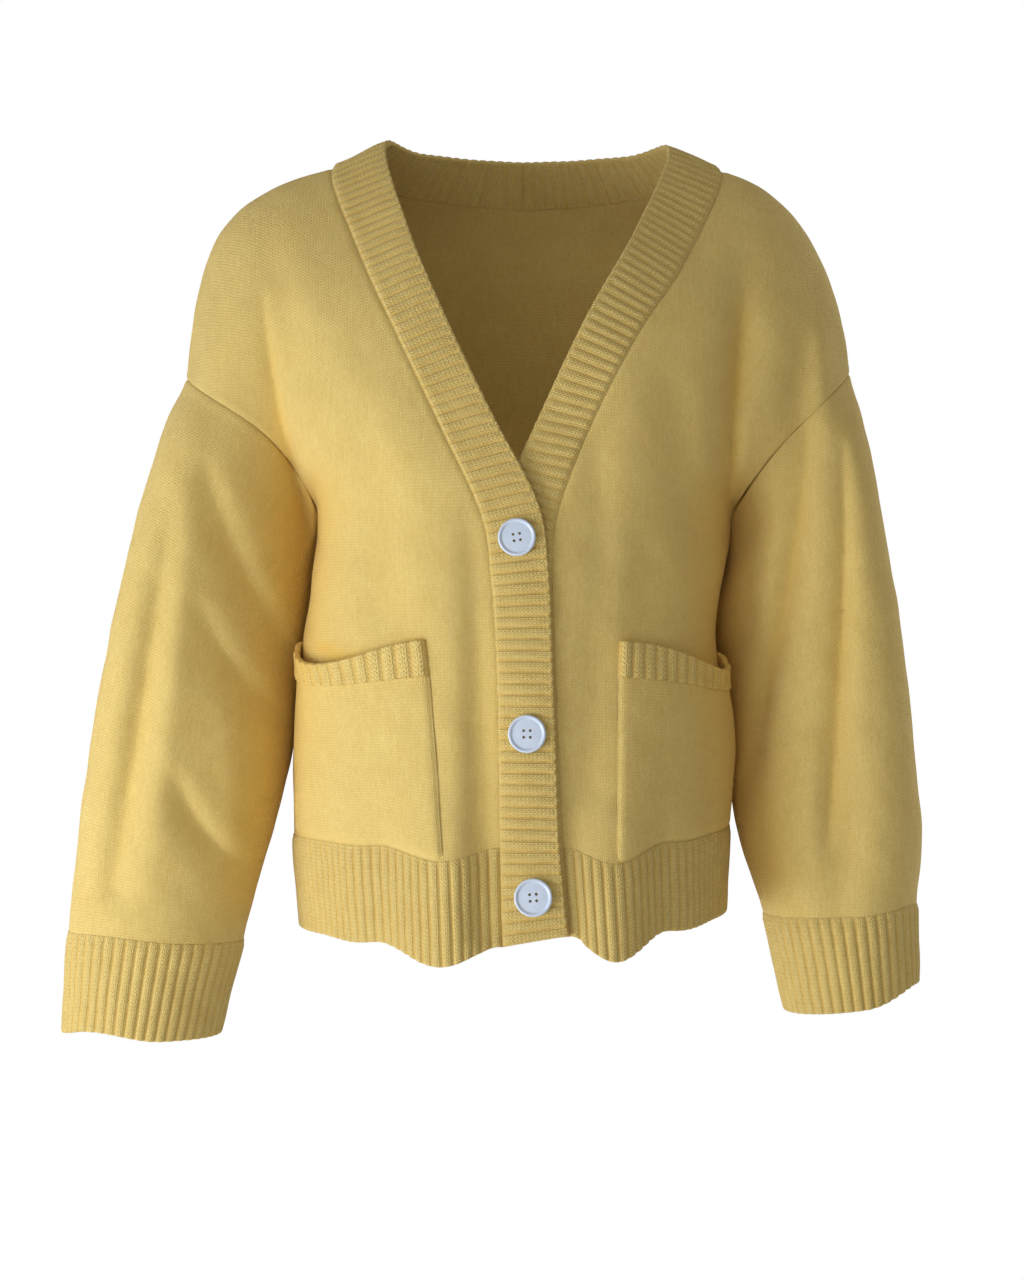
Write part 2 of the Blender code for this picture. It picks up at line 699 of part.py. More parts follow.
def pocket(side, across, up):
    """A pocket's outer surface on its front: across from the inner to the outer edge, up from the hem seam."""
    low_in, low_out, high_in, high_out = (Vector(corner) for corner in POCKETS[side])
    sag, lowest = POCKET_SAG[side]
    turned = across ** (log(0.5) / log(lowest))  # 0.5 where the mouth hangs lowest
    dip = 4 * turned * (1 - turned)
    level, share = low_in.lerp(low_out, across).lerp(high_in.lerp(high_out, across), up)
    level -= sag * dip * up**4
    stand = CLOTH + POCKET_STAND + POCKET_MOUTH * dip * up**3
    return front(side, share, level) + front_facing(side, share, level) * stand


def make_pocket(side):
    """A patch pocket and its ribbed top."""

    def surface(u, v):
        return pocket(side, u, v)

    def outward(u, v):
        return facing(surface, u, v, (0, 1), (0, 1)) * SIDES[side]

    gap = SEAM_GAP / POCKET_HEIGHT
    low, high = (0, POCKET_RIB_SHARE - gap / 2), (POCKET_RIB_SHARE + gap / 2, 1)
    wall(f"pocket_{side}", surface, outward, (0, 1), low, (RIBS["pocket"], POCKET_ROWS), CLOTH, STOCKINETTE)
    rib_surface = sewn_on(surface, (0, 1), RIBS["pocket"], POCKET_RIB_SHARE, 1)
    rib_outward = sewn_on(outward, (0, 1), RIBS["pocket"], POCKET_RIB_SHARE, 1)
    name = f"pocket_rib_{side}"
    wall(name, rib_surface, rib_outward, (0, 1), high, (2 * RIBS["pocket"], 1), CLOTH, RIB, ribs="u")


def make_button(name, station):
    """A turned button with a raised rim and four holes, lying on the ribs of the upper band."""
    bm = bmesh.new()
    outline = [bm.verts.new((r * MM, 0, h * MM)) for r, h in BUTTON_PROFILE]
    edges = [bm.edges.new(pair) for pair in zip(outline, outline[1:])]
    bmesh.ops.spin(
        bm, geom=outline + edges, axis=(0, 0, 1), cent=(0, 0, 0), steps=BUTTON_STEPS, angle=2 * pi, use_merge=True
    )
    bmesh.ops.remove_doubles(bm, verts=bm.verts[:], dist=1e-6)
    bmesh.ops.recalc_face_normals(bm, faces=bm.faces[:])
    up = strip_facing(station)
    across = (strip(station, 1) - strip(station, 0)).normalized()
    turn = Matrix((across, up.cross(across), up)).transposed().to_4x4()
    middle = strip(station, BUTTON_ACROSS) + up * (RIB_HEIGHT + SEAM_GAP)
    mesh = bpy.data.meshes.new(name)
    bm.to_mesh(mesh)
    bm.free()
    mesh.shade_smooth()
    mesh.set_sharp_from_angle(angle=radians(40))
    mesh.materials.append(BUTTON)
    piece = bpy.data.objects.new(name, mesh)
    piece.matrix_world = Matrix.Translation(middle) @ turn
    GARMENT.objects.link(piece)
    distance, radius = BUTTON_HOLE
    for number in range(4):
        angle = pi / 4 + number * pi / 2
        drill = bmesh.new()
        bmesh.ops.create_cone(
            drill, cap_ends=True, segments=6, radius1=radius, radius2=radius, depth=DRILL_LENGTH
        )
        cutter_mesh = bpy.data.meshes.new(f"{name}_drill_{number}")
        drill.to_mesh(cutter_mesh)
        drill.free()
        cutter = bpy.data.objects.new(f"{name}_drill_{number}", cutter_mesh)
        place = Matrix.Translation((distance * cos(angle), distance * sin(angle), 0))
        cutter.matrix_world = piece.matrix_world @ place
        cutter.hide_render = True
        cutter.display_type = "WIRE"
        CUTTERS.objects.link(cutter)
        cut = piece.modifiers.new(f"hole_{number}", "BOOLEAN")
        cut.operation = "DIFFERENCE"
        cut.object = cutter


for old in list(bpy.data.objects):
    bpy.data.objects.remove(old)

GARMENT = bpy.data.collections.new("button_cardigan")
CUTTERS = bpy.data.collections.new("cutters")
bpy.context.scene.collection.children.link(GARMENT)
bpy.context.scene.collection.children.link(CUTTERS)

STOCKINETTE = knit_material("stockinette", (0.82, 0.60, 0.22), 0.9)
RIB = knit_material("rib", (0.80, 0.58, 0.21), 0.9)
BUTTON = knit_material("button", (0.86, 0.87, 0.90), 0.3)

KNOTS = strip_knots()
LINES = fold_lines()

make_back()
for name in SIDES:
    make_band(name)
    make_front(name)
    make_sleeve(name)
    make_pocket(name)
for name, place in BUTTON_STATIONS.items():
    make_button(name, place)
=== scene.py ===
"""The looks of the button cardigan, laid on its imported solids.

Every piece of cloth is a thin wall of two layers, laid on one of the garment's surfaces:

  strip()   the long front band, from the right hem up round the back neck and down to the left hem
  front()   a front panel with the hem under it, from the band's seam to the side seam and the armhole
  back()    the back panel with the hem under it
  sleeve()  a sleeve with its cuff, from the armhole ring to the wrist
  pocket()  a patch pocket with its ribbed top, lying on a front

Axes: +X is the wearer's left, -Y the front and +Z up. The origin lies between the shoulder points.
Tables of shapes are in millimetres. Everything else is in metres, unless it says otherwise.

Levels count up the body: -1 hem edge, 0 hem seam, 1 and 2 pocket, 3 waist, 4 armpit, 5 to 7 armhole, 8 shoulder.
"""

from functools import partial
from math import cos, log, pi, radians, sin

import bmesh
import bpy
import numpy as np
from mathutils import Matrix, Vector


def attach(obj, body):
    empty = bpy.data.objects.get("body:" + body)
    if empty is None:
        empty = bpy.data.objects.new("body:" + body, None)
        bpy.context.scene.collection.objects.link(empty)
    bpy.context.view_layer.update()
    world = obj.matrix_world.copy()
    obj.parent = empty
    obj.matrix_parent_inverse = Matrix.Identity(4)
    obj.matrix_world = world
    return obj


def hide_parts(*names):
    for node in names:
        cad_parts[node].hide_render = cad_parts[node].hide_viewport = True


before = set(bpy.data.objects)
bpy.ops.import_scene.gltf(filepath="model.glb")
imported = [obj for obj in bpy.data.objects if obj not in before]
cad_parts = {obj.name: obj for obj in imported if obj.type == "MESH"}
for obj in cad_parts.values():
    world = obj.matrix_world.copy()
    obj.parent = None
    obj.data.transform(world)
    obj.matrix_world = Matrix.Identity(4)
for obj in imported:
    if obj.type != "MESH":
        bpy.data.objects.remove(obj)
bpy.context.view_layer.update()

MM = 0.001
TINY = 1e-12

CLOTH = 0.0026  # thickness of the stockinette
RIB_CLOTH = 0.0028  # thickness of the ribbing under its ribs
RIB_HEIGHT = 0.0018
RIB_PITCH = 0.0082
RIB_CELLS = 8  # grid lines that round one rib
RIB_ROUNDNESS = 2.2  # more is flatter, with steeper sides
RIB_INSIDE = 0.5  # share of the ribs' height that the inner layer has
RIB_AT_SEAM = 0.35  # share of their height that ribs have where they are sewn on
RIB_RISE = 7 * MM  # way from there to their full height
SEAM_GAP = 0.00006
WALE = 0.0026  # width of one column of stitches
COURSE = 0.0021  # height of one row of stitches
RIB_COURSE = 0.0029  # height of one row of stitches in the ribbing

HEM_EDGE, HEM_MIDDLE, HEM_SEAM, ARMPIT, SHOULDER = -1, -0.5, 0, 4, 8
SIDES = {"right": -1, "left": 1}

# The band: one row for each station of the strip, right hem to left hem. Seam edge, then free edge.
STRIP = (
    # station, seam x, y, z, free x, y, z
    (0, -8, -152, -616, 40, -153, -608),
    (1, -10, -146, -545, 34, -148, -545),
    (2, -11, -142, -470, 31, -144, -470),
    (3, -13, -140, -400, 28.5, -142, -400),
    (4, -17, -137, -345, 26, -139, -341),
    (5, -24, -134, -300, 18, -137, -291),
    (6, -53, -126, -237, -15, -128, -226),
    (7, -86, -105, -167, -50, -107, -151),
    (8, -119, -64, -94, -80, -66, -77),
    (9, -143, 0, -20, -101, 2, 0),
    (10, -95, 62, -28, -72, 40, 0),
    (11, 8, 84, -36, 8, 58, -3),
    (12, 113, 62, -30, 91, 40, -2),
    (13, 165, 0, -22, 123, 2, -4),
    (14, 131, -72, -105, 93, -70, -80),
    (15, 92, -111, -167, 56, -109, -148),
    (16, 56, -124, -238, 18, -122, -229),
    (17, 33, -129.5, -300, -8, -129, -291),
    (18, 29, -132.5, -345, -13, -132, -347),
    (19, 30.5, -135.5, -400, -11, -135, -400),
    (20, 33, -137.5, -470, -9, -137, -470),
    (21, 37, -141, -545, -6, -141, -545),
    (22, 42, -147, -609, -3, -147, -613),
)
STATIONS = STRIP[-1][0]
NECK_STATION = 11
SHOULDER_STATION = {"right": 9, "left": 13}
BAND_WIDTH = 0.042
BAND_TURN = 1.2 * MM  # how far the free edge turns inward
BAND_RISE = 4 * MM  # way from the seam over which the ribs rise
SELVEDGE = (2.2 * MM, 1.5 * MM, 1.2 * MM)  # cord by the free edge: distance, half width, height

# Side seams: x and z at each level from the hem edge to the armpit, at y 0.
SIDE_SEAM = {
    "right": (
        (-1, -167, -617), (0, -172, -545), (1, -172, -470), (2, -165, -402), (3, -156, -350), (3.5, -153.5, -321),
        (4, -152, -293),
    ),
    "left": (
        (-1, 166, -604), (0, 170, -538), (1, 174, -466), (2, 158, -400), (3, 160, -354), (3.5, 169, -323),
        (4, 171, -294),
    ),
}

# A front's rows: how far it runs straight from the band and from the side, and in which directions.
FRONT_ROWS = (
    # level, reach, x outward, y, z, reach, x outward, y, z
    (-1, 78, 1, 0, 0, 66, 0.05, -1, 0),
    (0, 80, 1, 0, 0, 66, 0.06, -1, 0),
    (1, 80, 1, 0, 0, 66, 0.07, -1, 0),
    (2, 80, 1, 0, 0, 66, 0.15, -1, 0),
    (3, 80, 1, 0, 0, 68, 0.22, -1, 0),
    (4, 76, 1, 0, -0.02, 74, 0.15, -1, 0),
    (5, 60, 1, -0.02, -0.06, 50, -0.35, -0.85, 0.3),
    (6, 55, 0.98, 0.05, -0.15, 45, -0.6, -0.15, 0.75),
    (7, 60, 0.97, -0.1, -0.2, 70, -0.2, -0.15, 0.97),
    (8, 75, 0.97, 0, -0.24, 95, -0.09, 0, 0.99),
)
SHOULDER_REACH = {"right": (96, 108), "left": (64, 82)}  # worn a little askew, the shoulders differ

# The back's rows: the middle of the back, then the same reaches as on a front.
BACK_ROWS = (
    # level, y, z, reach, reach, x outward, y, z
    (-1, 124, -612, 105, 82, 0, 1, 0),
    (0, 129, -542, 105, 84, 0, 1, 0),
    (1, 129, -468, 105, 84, 0, 1, 0),
    (2, 127, -400, 103, 84, 0, 1, 0),
    (3, 124, -345, 100, 82, 0, 1, 0),
    (4, 121, -292, 95, 78, 0, 1, 0),
    (5, 118, -235, 95, 50, -0.35, 0.85, 0.3),
    (6, 113, -170, 100, 50, -0.5, 0.3, 0.8),
    (7, 103, -100, 95, 70, -0.2, 0.15, 0.97),
)
BACK_MIDDLE = 2  # x of the middle of the back
NECK_SHARE = 1 / 3  # share of the back's top edge that the band takes
NECK_FADE = NECK_SHARE * 1.2  # share at which the shoulder's slope has taken over
FRONT_CROSSING = (95, 25)  # how far a panel runs on level, and up, at its top seam
BACK_CROSSING = (150, 30)
NECK_CROSSING = (60, 65)

# Sleeves: outer and inner edge seen from the front, middle and half depth from front to back.
SLEEVE = {
    "right": (
        # share, outer x, z, inner x, z, middle y, half depth, how far the inner edge lies behind
        (0.00, -257, -187, -152, -293, 0, 63, 0),
        (0.10, -272, -228, -156.5, -326, -4, 64, 36),
        (0.22, -289, -289, -161.5, -370, -9, 64, 50),
        (0.36, -303, -352, -170, -421, -14, 63, 56),
        (0.50, -316, -415, -174, -474, -18, 61, 50),
        (0.64, -328, -479, -184, -524, -21, 60, 30),
        (0.76, -337, -541, -196, -568, -24, 58, 16),
        (0.88, -345, -618, -211, -626, -27, 55, 6),
        (1.00, -349, -696, -229, -698, -29, 53, 0),
    ),
    "left": (
        (0.00, 265, -183, 171, -294, 0, 63, 0),
        (0.10, 275, -232, 169, -326, -4, 64, 40),
        (0.22, 284, -292, 158, -371, -9, 64, 68),
        (0.36, 294, -356, 166, -422, -14, 63, 68),
        (0.50, 303, -420, 171, -473, -18, 61, 60),
        (0.64, 310, -484, 173, -520, -21, 60, 46),
        (0.76, 316, -540, 181, -560, -24, 58, 30),
        (0.88, 313, -600, 196, -606, -27, 55, 12),
        (1.00, 314, -667, 212, -680, -29, 53, 0),
    ),
}
ARMHOLE_BOW = {"right": 16, "left": 8}  # how far its front and back rise above a straight line
ARMHOLE_BOW_END = 0.3  # share of the sleeve at which the bow has faded
SLEEVE_LENGTH = 0.6  # metres, about
CUFF_SHARE = 0.88
CUFF_MIDDLE = 0.95
CUFF_WAVE_START = CUFF_SHARE - 0.1
UNDERARM_GAP = 0.005  # share by which a sleeve starts lower under the arm, clear of the panels
CUFF_WAVES = {
    # side: place around, half width, how far the cuff's edge is drawn up
    "right": (0.33, 0.14, 6),
    "left": (0.43, 0.17, 11),
}

# Waves of the hem: where it stands forward and hangs lower.
HEM_WAVES = {
    # side: ((x of the middle, half width, forward, down), ...)
    "right": ((-54, 48, 14, 14), (-120, 26, 4, 2)),
    "left": ((76, 40, 14, 18), (130, 24, 4, 2)),
}
HEM_WAVE_START = 14  # distance from the band over which they begin
HEM_WAVE_TOP = 1.6  # level where the waves die out

# Creases, seen from the front: a bent line, how softly the cloth turns on the left and right of one who walks
# along it, how far it stands out at its start, middle and end, and how round it is: 1 bends sharply.
CREASES = (
    # face, x, z, x, z, x, z, left, right, outward, outward, outward, roundness
    # the folds between chest and arm
    (-1, -192, -125, -180, -232, -157, -312, 7, 18, -3, -17, -24, 1.1),
    (-1, 177, -130, 160, -225, 171, -308, 8, 15, -3, -16, -16, 1.1),
    (-1, -190, -90, -174, -135, -164, -190, 13, 13, -1, -4, -3, 2),
    (-1, 176, -98, 172, -145, 170, -205, 18, 13, -2, -6, -4, 2),
    # chest
    (-1, 118, -190, 122, -245, 141, -312, 16, 20, -2, -5, -4, 2),
    (-1, 62, -245, 62, -280, 66, -330, 12, 14, -2, -3, -2, 2),
    (-1, -112, -230, -100, -290, -88, -370, 16, 18, -2, -5, -3, 2),
    (-1, -30, -300, -22, -430, -24, -600, 20, 12, -2, -8, -7, 2),
    (-1, 66, -330, 58, -400, 56, -500, 14, 14, -1, -3, -4, 2),
    (-1, 96, -300, 104, -350, 98, -385, 18, 16, -1, -3, -2, 2),
    (-1, -118, -300, -106, -340, -98, -380, 18, 16, -1, -3, -3, 2),
    # the arm above the seam, wearer's left
    (-1, 222, -150, 218, -200, 222, -245, 12, 14, -2, -5, -3, 2),
    (-1, 240, -130, 236, -180, 240, -235, 10, 10, 1, 3, 1, 2),
    # wearer's right sleeve
    (-1, -247, -220, -252, -390, -275, -560, 13, 24, 1, 4, 2, 2),
    (-1, -260, -300, -277, -420, -304, -580, 15, 12, -3, -12, -7, 1.6),
    (-1, -234, -262, -212, -345, -172, -404, 10, 15, -3, -9, -7, 1.7),
    (-1, -239, -364, -216, -424, -180, -452, 9, 13, -2, -7, -4, 1.5),
    (-1, -255, -499, -243, -542, -212, -562, 8, 12, -3, -9, -4, 1.5),
    (-1, -216, -440, -207, -490, -214, -555, 14, 14, 1, 4, 2, 2),
    # wearer's left sleeve
    (-1, 252, -248, 255, -400, 240, -545, 5, 15, -4, -15, -6, 1.1),
    (-1, 204, -270, 200, -350, 180, -430, 12, 8, 2, 6, 2, 2),
    (-1, 226, -236, 218, -360, 178, -525, 6, 20, -4, -15, -8, 1.2),
    (-1, 228, -450, 222, -500, 226, -560, 14, 12, 1, 3, 2, 2),
    (-1, 250, -480, 257, -530, 246, -596, 14, 16, -2, -7, -4, 2),
    # back
    (1, -160, -110, -172, -200, -160, -322, 18, 7, -3, -12, -20, 2),
    (1, 172, -110, 178, -200, 178, -322, 7, 18, -3, -12, -20, 2),
    (1, -60, -90, -95, -180, -100, -300, 22, 22, -2, -6, -3, 2),
    (1, 66, -90, 92, -190, 86, -300, 22, 22, -2, -5, -3, 2),
    (1, -20, -330, -8, -420, -24, -520, 20, 20, -1, -5, -3, 2),
    (1, 70, -380, 84, -450, 76, -530, 18, 18, -2, -5, -3, 2),
    (1, -100, -400, -112, -460, -104, -535, 16, 18, -2, -4, -3, 2),
    (1, -240, -260, -262, -400, -290, -560, 16, 16, -2, -6, -4, 2),
    (1, -200, -330, -224, -400, -262, -470, 12, 12, -3, -6, -2, 2),
    (1, 236, -260, 252, -380, 262, -540, 14, 14, -3, -6, -3, 2),
    (1, 205, -340, 226, -410, 250, -470, 12, 12, -3, -6, -2, 2),
)
CREASE_STEPS = 48
CREASE_SHOWS = 0.04  # way before or behind the side seams
CREASE_PAINTED_SHADE = 0.7  # how much painted shade the yarn's colour gets in the deepest crease
PAINTED_SHADE_DEPTH = 0.022  # depth of a crease at which its painted shade is strongest
PAINTED_SHADE_START = 0.1  # share of that depth at which the painted shade begins

# Narrow places between parts, seen from the front, where shade is painted into the yarn's colour, and the pieces
# that they show on.
PAINTED_SHADE_NARROWS = (
    # x, z, x, z, x, z, half width, strength, pieces
    (-158, -290, -172, -430, -200, -590, 24, 0.8, ("front", "sleeve", "back", "pocket")),
    (165, -290, 152, -400, 186, -570, 24, 0.8, ("front", "sleeve", "back", "pocket")),
    (-146, -398, -118, -420, -72, -400, 8, 0.9, ("front",)),
    (84, -400, 120, -420, 152, -404, 8, 0.9, ("front",)),
)

# Pockets, as shares of a front's row and levels of the front.
POCKETS = {
    # side: (level, share) of the lower inner, lower outer, upper inner and upper outer corner
    "right": ((0.02, 0.17), (0.02, 0.83), (2.13, 0.215), (2.15, 0.88)),
    "left": ((0.02, 0.17), (0.02, 0.82), (2.11, 0.215), (1.97, 0.85)),
}
POCKET_SAG = {"right": (0.30, 0.62), "left": (0.28, 0.76)}  # levels that the mouth dips, and how far across
POCKET_STAND = 0.0003  # how far the pocket stands off the front all over
POCKET_MOUTH = 0.00855  # and how much further it stands open at the top
POCKET_HEIGHT = 0.16
POCKET_RIB_SHARE = 0.80  # share of the height at which the ribbed top starts
POCKET_RIBS = 14

# Buttons
BUTTON_STATIONS = {"button_top": 4.55, "button_middle": 2.12, "button_bottom": 0.48}
BUTTON_ACROSS = 0.52  # share of the band's width at which they sit
BUTTON_PROFILE = (
    # radius and height of the turned outline, from the axis over the face to the back
    (0.0, 2.0), (10.4, 2.0), (11.0, 1.9), (11.5, 2.2), (12.0, 2.9), (12.7, 3.2), (13.4, 3.0), (13.9, 2.4),
    (14.0, 1.7), (13.6, 1.0), (12.6, 0.4), (11.0, 0.1), (0.0, 0.0),
)
BUTTON_STEPS = 64
BUTTON_EDGE = 50  # degrees from which its edges look sharp
HOLES = 4
HOLE_DISTANCE = 3.4 * MM  # from the axis
HOLE_RADIUS = 1.05 * MM
HOLE_STEPS = 20
DRILL_LENGTH = 12 * MM

# Grid lines in one direction of a piece, and about how many metres it measures there.
BAND_ACROSS = (13, BAND_WIDTH)
FRONT_ACROSS, FRONT_UP = (84, 0.23), (200, 0.56)
BACK_ACROSS, BACK_UP = (175, 0.52), (190, 0.55)
BACK_HALF = 0.25  # metres from the middle of the back to its side
HEM_UP = (15, 0.073)
SLEEVE_AROUND = 141
SLEEVE_ALONG, CUFF_ALONG = (150, 0.45), (14, 0.075)
POCKET_ACROSS, POCKET_UP, POCKET_RIB_UP = (46, 0.115), (46, 0.125), (8, 0.031)
EDGE_LINES = (0.35, 0.8, 1.5, 2.4)  # millimetres from an edge to lines that round it
EDGE_CLEAR = 1.3  # the other lines keep this share of the last of them away
CURVE_SAMPLES = 400
HEM_GAP, SHOULDER_GAP = 0.0005, 0.004  # in levels
WALE_LINE = 0.09  # x of the upright line that a front's wales follow

# Edges of the cloth, see edge_drop().
OPEN_DROP = 0.88  # how round an open edge is: 1 has no flat left
LAID_DROP, LAID_WAY = 0.85, 1.6  # its slope's depth and width, as shares of the thickness
GROOVE = (0.4 * MM, 1.2 * MM)  # the groove on a seam: depth, half width
WELT = (0.35 * MM, 4 * MM, 2.5 * MM)  # the welt beside it: height, distance from the seam, half width
UNEVENNESS = 0.35 * MM

# Yarn: on the stitches; in the hollows between them, where the colour is painted shade as well as darker tone; and a
# painted shade for creases and narrow places.
YARN = (0.86, 0.68, 0.255)
YARN_SHADE_AND_DARK_TONE = (0.64, 0.415, 0.10)
YARN_PAINTED_SHADE = (0.84, 0.56, 0.13)
YARN_SHADER = {
    "Roughness": 0.95,
    "Specular IOR Level": 0.15,
    "Sheen Weight": 0.25,
    "Sheen Roughness": 0.45,
    "Sheen Tint": (1.0, 0.93, 0.72, 1),
}
MIDDLE_SHADE = 0.66  # of a stitch's middle height: 0 is the darker colour, 1 is YARN; lower parts get painted shade
FUZZ_SCALE, CLOUD_SCALE, WOBBLE_SCALE = 1100, 38, 160  # of the noise, to a metre
SHADES = (0.6, 0.35, 0.4, 0.2)  # what fuzz, clouds, streaks and single stitches add to it
STREAK_SCALES = (0.9, 0.12)  # of the streaks in the yarn, to a wale and to a course
FUZZ_HEIGHT = 0.5  # share of the stitches' height
LEG_SLANT = 1.3  # courses to a wale
LEG_DIP, ROW_DIP, PURL_DIP = 0.45, 0.8, 0.55  # depth beside a leg, between rows, between purls
ROW_ROUNDNESS = 0.7
RIB_HOLLOW = (2, -0.5, -0.6)  # slope and shift of the hollow between ribs, and its dip

BUTTON_COLOURS = (0.64, 0.75, 0.95), (0.70, 0.80, 0.98)
BUTTON_SHADER = {
    "Roughness": 0.28,
    "Coat Weight": 0.35,
    "Coat Roughness": 0.12,
    "Subsurface Weight": 0.15,
    "Subsurface Radius": (0.002, 0.002, 0.002),
}

# Studio: the floor lies where the wearer would stand.
FLOOR = -1.4
FLOOR_RADIUS = 2.6
FLOOR_SHADER = {"Base Color": (0.93, 0.93, 0.93, 1), "Roughness": 0.9}
SKY_COLOUR, SKY_STRENGTH = (1, 0.94, 0.84, 1), 0.31
LIT_POINT = (0, 0, -0.35)  # what all lights face
LIGHTS = (
    # name, place, width, watts
    ("window", (-1.6, -0.95, -0.95), 1.2, 28),
    ("front", (-0.7, -1.9, -0.8), 1.4, 5),
    ("overhead", (-0.5, -0.9, 1.6), 1.4, 3),
    ("behind", (1.5, 0.9, -0.2), 1.4, 10),
)
CAMERA = (-0.0008, -1.9, -0.3926)
LENS, SENSOR = 67.6, 36  # millimetres, the sensor's upright


def mm(x, y, z):
    """Points given in millimetres."""
    return np.stack(np.broadcast_arrays(x, y, z), axis=-1) * MM


def unit(vectors):
    return vectors / np.maximum(np.linalg.norm(vectors, axis=-1, keepdims=True), TINY)


def blend(a, b, share):
    return a + (b - a) * np.asarray(share)[..., None]


def ease(x, low, high):
    """0 below low, 1 above high and a smooth step between."""
    x = np.clip((x - low) / (high - low), 0, 1)
    return x * x * (3 - 2 * x)


def swell(x, middle, half):
    """1 in the middle, falling smoothly to 0 at half to each side."""
    return np.cos(np.minimum(np.abs(x - middle) / half, 1) * pi / 2) ** 2


def hermite(s, start, end, leave, arrive):
    """Points on the curve from start to end that leaves and arrives with the given slopes."""
    return (
        start * (2 * s**3 - 3 * s**2 + 1)
        + leave * (s**3 - 2 * s**2 + s)
        + end * (3 * s**2 - 2 * s**3)
        + arrive * (s**3 - s**2)
    )


def bezier(s, a, b, c, d):
    s = s[..., None]
    r = 1 - s
    return a * r**3 + b * (3 * r * r * s) + c * (3 * r * s * s) + d * s**3


def smooth(rows, key):
    """The columns of a table at keys between its rows, on one smooth curve."""
    rows = np.array(rows, float)
    last = len(rows) - 1
    index = np.arange(last + 1)
    steps = rows[np.minimum(index + 1, last)] - rows[np.maximum(index - 1, 0)]
    slopes = steps / steps[:, :1]
    key = np.clip(key, rows[0, 0], rows[-1, 0])
    low = np.clip(np.searchsorted(rows[:, 0], key, side="right") - 1, 0, last - 1)
    span = (rows[low + 1, 0] - rows[low, 0])[..., None]
    s = (key - rows[low, 0])[..., None] / span
    return hermite(s, rows[low], rows[low + 1], slopes[low] * span, slopes[low + 1] * span)[..., 1:]


# ---- surfaces


def bent_line(numbers):
    """Points along a line given by its start, its bend and its end."""
    t = np.linspace(0, 1, CREASE_STEPS)[:, None]
    start, bend, end = np.array(numbers, float).reshape(3, 2) * MM
    return start * (1 - t) ** 2 + bend * (2 * t * (1 - t)) + end * t**2


def creased(points):
    """Points moved out or in by the creases of the cloth."""
    seen = points[..., (0, 2)]
    moved = points.copy()
    shares = np.linspace(0, 1, CREASE_STEPS)
    for face, *line, left, right, first, middle, last, roundness in CREASES:
        path = bent_line(line)
        ahead = np.gradient(path, axis=0)
        offset = seen[..., None, :] - path
        nearest = (offset**2).sum(-1).argmin(-1)
        offset = np.take_along_axis(offset, nearest[..., None, None], axis=-2)[..., 0, :]
        ahead, along = ahead[nearest], shares[nearest]
        to_left = ahead[..., 0] * offset[..., 1] - ahead[..., 1] * offset[..., 0]
        to_left /= np.linalg.norm(ahead, axis=-1) * np.linalg.norm(offset, axis=-1) + TINY
        width = (left + right + (left - right) * to_left) / 2 * MM
        outward = first * (1 - along) * (1 - 2 * along) + middle * 4 * along * (1 - along)
        outward = (outward + last * along * (2 * along - 1)) * MM
        showing = ease(face * points[..., 1], 0, CREASE_SHOWS)
        away = np.linalg.norm(offset, axis=-1) / width
        moved[..., 1] += face * outward * np.exp(-(away**roundness)) * showing
    return moved


def painted_shade_in_folds(name, points):
    """Painted shade, from 0 to 1: how far the yarn's colour turns to a shaded orange in creases and narrow places
    between parts.
    """
    inward = (points - creased(points))[..., 1] * np.sign(points[..., 1])
    painted_shade = CREASE_PAINTED_SHADE * ease(inward / PAINTED_SHADE_DEPTH, PAINTED_SHADE_START, 1)
    seen = points[..., (0, 2)]
    for *line, half, strength, pieces in PAINTED_SHADE_NARROWS:
        if name.startswith(pieces):
            away = np.linalg.norm(seen[..., None, :] - bent_line(line), axis=-1).min(-1) / (half * MM)
            painted_shade = np.maximum(painted_shade, strength * np.exp(-(away**2)))
    return painted_shade


def strip(across, station):
    """The band's outer surface: across is 0 on the seam and 1 on the free edge."""
    p = smooth(STRIP, station)
    return blend(p[..., :3], p[..., 3:], across) * MM


def band_seam(side, level):
    return strip(0, level + 1 if side == "right" else STATIONS - 1 - level)


def sleeve(side, around, share):
    """A sleeve's outer surface: around is 0 underarm, 0.25 front, 0.5 outside, 0.75 back."""
    outer_x, outer_z, inner_x, inner_z, middle_y, depth, behind = np.moveaxis(smooth(SLEEVE[side], share), -1, 0)
    angle = 2 * pi * around
    place, half, drawn = CUFF_WAVES[side]
    up = drawn * ease(share, CUFF_WAVE_START, 1) * swell(around % 1, place, half)
    bow = ARMHOLE_BOW[side] * (1 - ease(share, 0, ARMHOLE_BOW_END))
    up = up + bow * (1 + np.cos(angle)) * np.sin(angle) ** 2
    across = np.cos(angle) / 2
    x = (outer_x + inner_x) / 2 - (outer_x - inner_x) * across
    z = (outer_z + inner_z) / 2 - (outer_z - inner_z) * across
    return mm(x, middle_y - depth * np.sin(angle) + behind * across, z + up)


def side_edge(side, level, face):
    """Where a panel's row ends: on the side seam, or on the armhole above the armpit."""
    x, z = np.moveaxis(smooth(SIDE_SEAM[side], level), -1, 0)
    turn = np.clip((level - ARMPIT) / (SHOULDER - ARMPIT), 0, 1) / 2
    ring = sleeve(side, turn if face < 0 else 1 - turn, np.zeros_like(turn))
    return np.where((level <= ARMPIT)[..., None], mm(x, 0, z), ring)


def panel_row(side, face, level, share, start, leave, arrive):
    """A row of a panel that leaves its start and reaches its side in the given outward directions."""
    level = np.full_like(share, level)
    outward = np.array((SIDES[side], 1, 1)) * MM
    end = side_edge(side, level, face)
    return bezier(share, start, start + np.array(leave) * outward, end + np.array(arrive) * outward, end)


